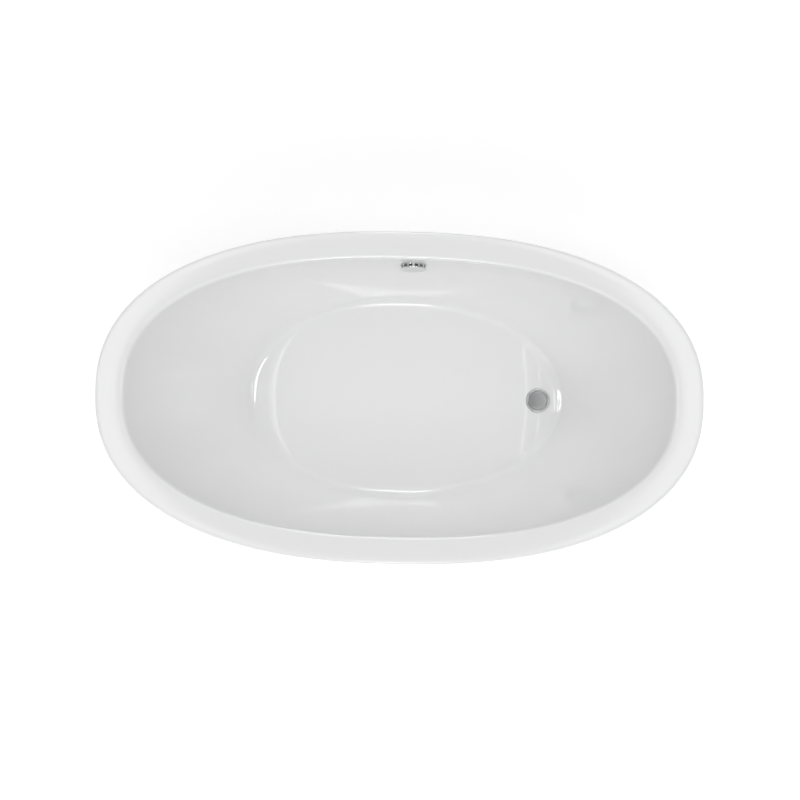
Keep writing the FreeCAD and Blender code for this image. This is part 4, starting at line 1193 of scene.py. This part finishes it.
class TUB_OT_stage(bpy.types.Operator):
    """Makes the pale floor, the soft light and the camera"""

    bl_idname = "tub.stage"
    bl_label = "Stage"
    # all on a ceiling at height 1: where the camera's shadow, the overhead panel and the side panels
    # end, and the thin lamps beyond the tub's sides and ends, each from u, to u, from v, to v
    SHADOW_EDGE, OVERHEAD_EDGE = (0.115, 0.14), (0.17, 0.31)
    PANEL_REACH, PANEL_SQUARES = 0.8, (0.20, 1.7)
    SIDE_LAMPS = ((-0.06, 0.08, 0.68, 1.20), (-0.06, 0.08, -1.20, -0.68))
    END_LAMPS = ((0.60, 0.64, -0.26, 0.02), (0.84, 0.88, -0.09, 0.01), (-0.53, -0.50, -0.11, 0.11),
                 (-0.64, -0.60, -0.11, 0.11))

    def execute(self, context):
        stage = context.scene.tub_stage
        self.floor(stage.floor_glow)
        self.light(context, stage)
        self.camera(context, stage)
        return {"FINISHED"}

    def floor(self, glow):
        fresh_start()
        bpy.ops.mesh.primitive_plane_add(size=40.0, location=(0.0, 0.0, 0.0))
        floor = named(bpy.context.active_object, "stage_floor")
        finish = Finish("pale_floor", Roughness=0.9, Emission_Strength=glow)
        finish.shader.inputs["Base Color"].default_value = (0.95, 0.95, 0.95, 1.0)
        finish.shader.inputs["Emission Color"].default_value = (1.0, 1.0, 1.0, 1.0)
        wear(floor, finish.material)

    def light(self, context, stage):
        """A soft overhead sky with panels on an endless ceiling, at u = x / z and v = y / z."""
        world = bpy.data.worlds.new("soft_sky")
        context.scene.world = world
        world.use_nodes = True
        sky = Nodes(world.node_tree)
        aim = sky.node("ShaderNodeTexCoord", {}, output="Generated")
        split = sky.node("ShaderNodeSeparateXYZ", {}, aim)
        x, y, z = (Field(sky, split.socket.node.outputs[k]) for k in range(3))
        height = sky.node("ShaderNodeClamp", {}, z, 0.05, 1.0)
        u, v = x / height, y / height
        away = (u * u + v * v) ** 0.5
        dome = stage.sky_even * (1.0 + stage.sky_lean_y * v * height)
        dome = dome + stage.overhead * (1.0 - away.step(*self.OVERHEAD_EDGE))
        dome = dome * (1.0 - stage.spot * (1.0 - away.step(*self.SHADOW_EDGE)))
        wide = u.between(-self.PANEL_REACH, self.PANEL_REACH, 0.2)
        wide = wide * (v * v).between(*self.PANEL_SQUARES, 0.08)
        glow = dome + stage.side_panels * wide
        for lamps, strength in ((self.SIDE_LAMPS, stage.side_strips), (self.END_LAMPS, stage.end_strips)):
            for left, right, front, back in lamps:
                lamp = u.between(left, right, 0.01) * v.between(front, back, 0.01)
                glow = glow + strength * lamp
        background = world.node_tree.nodes["Background"]
        background.inputs["Color"].default_value = (1.0, 1.0, 1.0, 1.0)
        world.node_tree.links.new(glow.socket, background.inputs["Strength"])

    def camera(self, context, stage):
        data = bpy.data.cameras.new("camera")
        camera = bpy.data.objects.new("camera", data)
        context.scene.collection.objects.link(camera)
        data.lens = stage.camera_lens
        data.sensor_width = 36.0
        camera.location = (0.0017, -0.0063, stage.camera_height)
        camera.rotation_euler = (0.0, 0.0, stage.camera_roll)
        context.scene.camera = camera
        context.scene.view_settings.view_transform = "Standard"


class TUB_PT_panel(bpy.types.Panel):
    """Lists the tub's operators"""

    bl_idname = "TUB_PT_panel"
    bl_label = "Bathtub"
    bl_space_type = "VIEW_3D"
    bl_region_type = "UI"
    bl_category = "Bathtub"

    def draw(self, context):
        for operator in OPERATORS:
            self.layout.operator(operator.bl_idname)


OPERATORS = (TUB_OT_basin, TUB_OT_skirt, TUB_OT_drain, TUB_OT_stopper, TUB_OT_overflow, TUB_OT_feet,
             TUB_OT_hose, TUB_OT_frame, TUB_OT_carried, TUB_OT_stage)
SETTINGS = {"tub_shell": TubShellSettings, "tub_fittings": TubFittingSettings,
            "tub_stage": TubStageSettings}


def register():
    for item in tuple(SETTINGS.values()) + OPERATORS + (TUB_PT_panel,):
        bpy.utils.register_class(item)
    for name, group in SETTINGS.items():
        setattr(bpy.types.Scene, name, bpy.props.PointerProperty(type=group))


def unregister():
    for name in SETTINGS:
        delattr(bpy.types.Scene, name)
    for item in (TUB_PT_panel,) + OPERATORS[::-1] + tuple(SETTINGS.values())[::-1]:
        bpy.utils.unregister_class(item)


def main():
    """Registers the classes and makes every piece."""
    register()
    for operator in OPERATORS:
        group, name = operator.bl_idname.split(".")
        getattr(getattr(bpy.ops, group), name)()


if __name__ == "__main__":
    main()
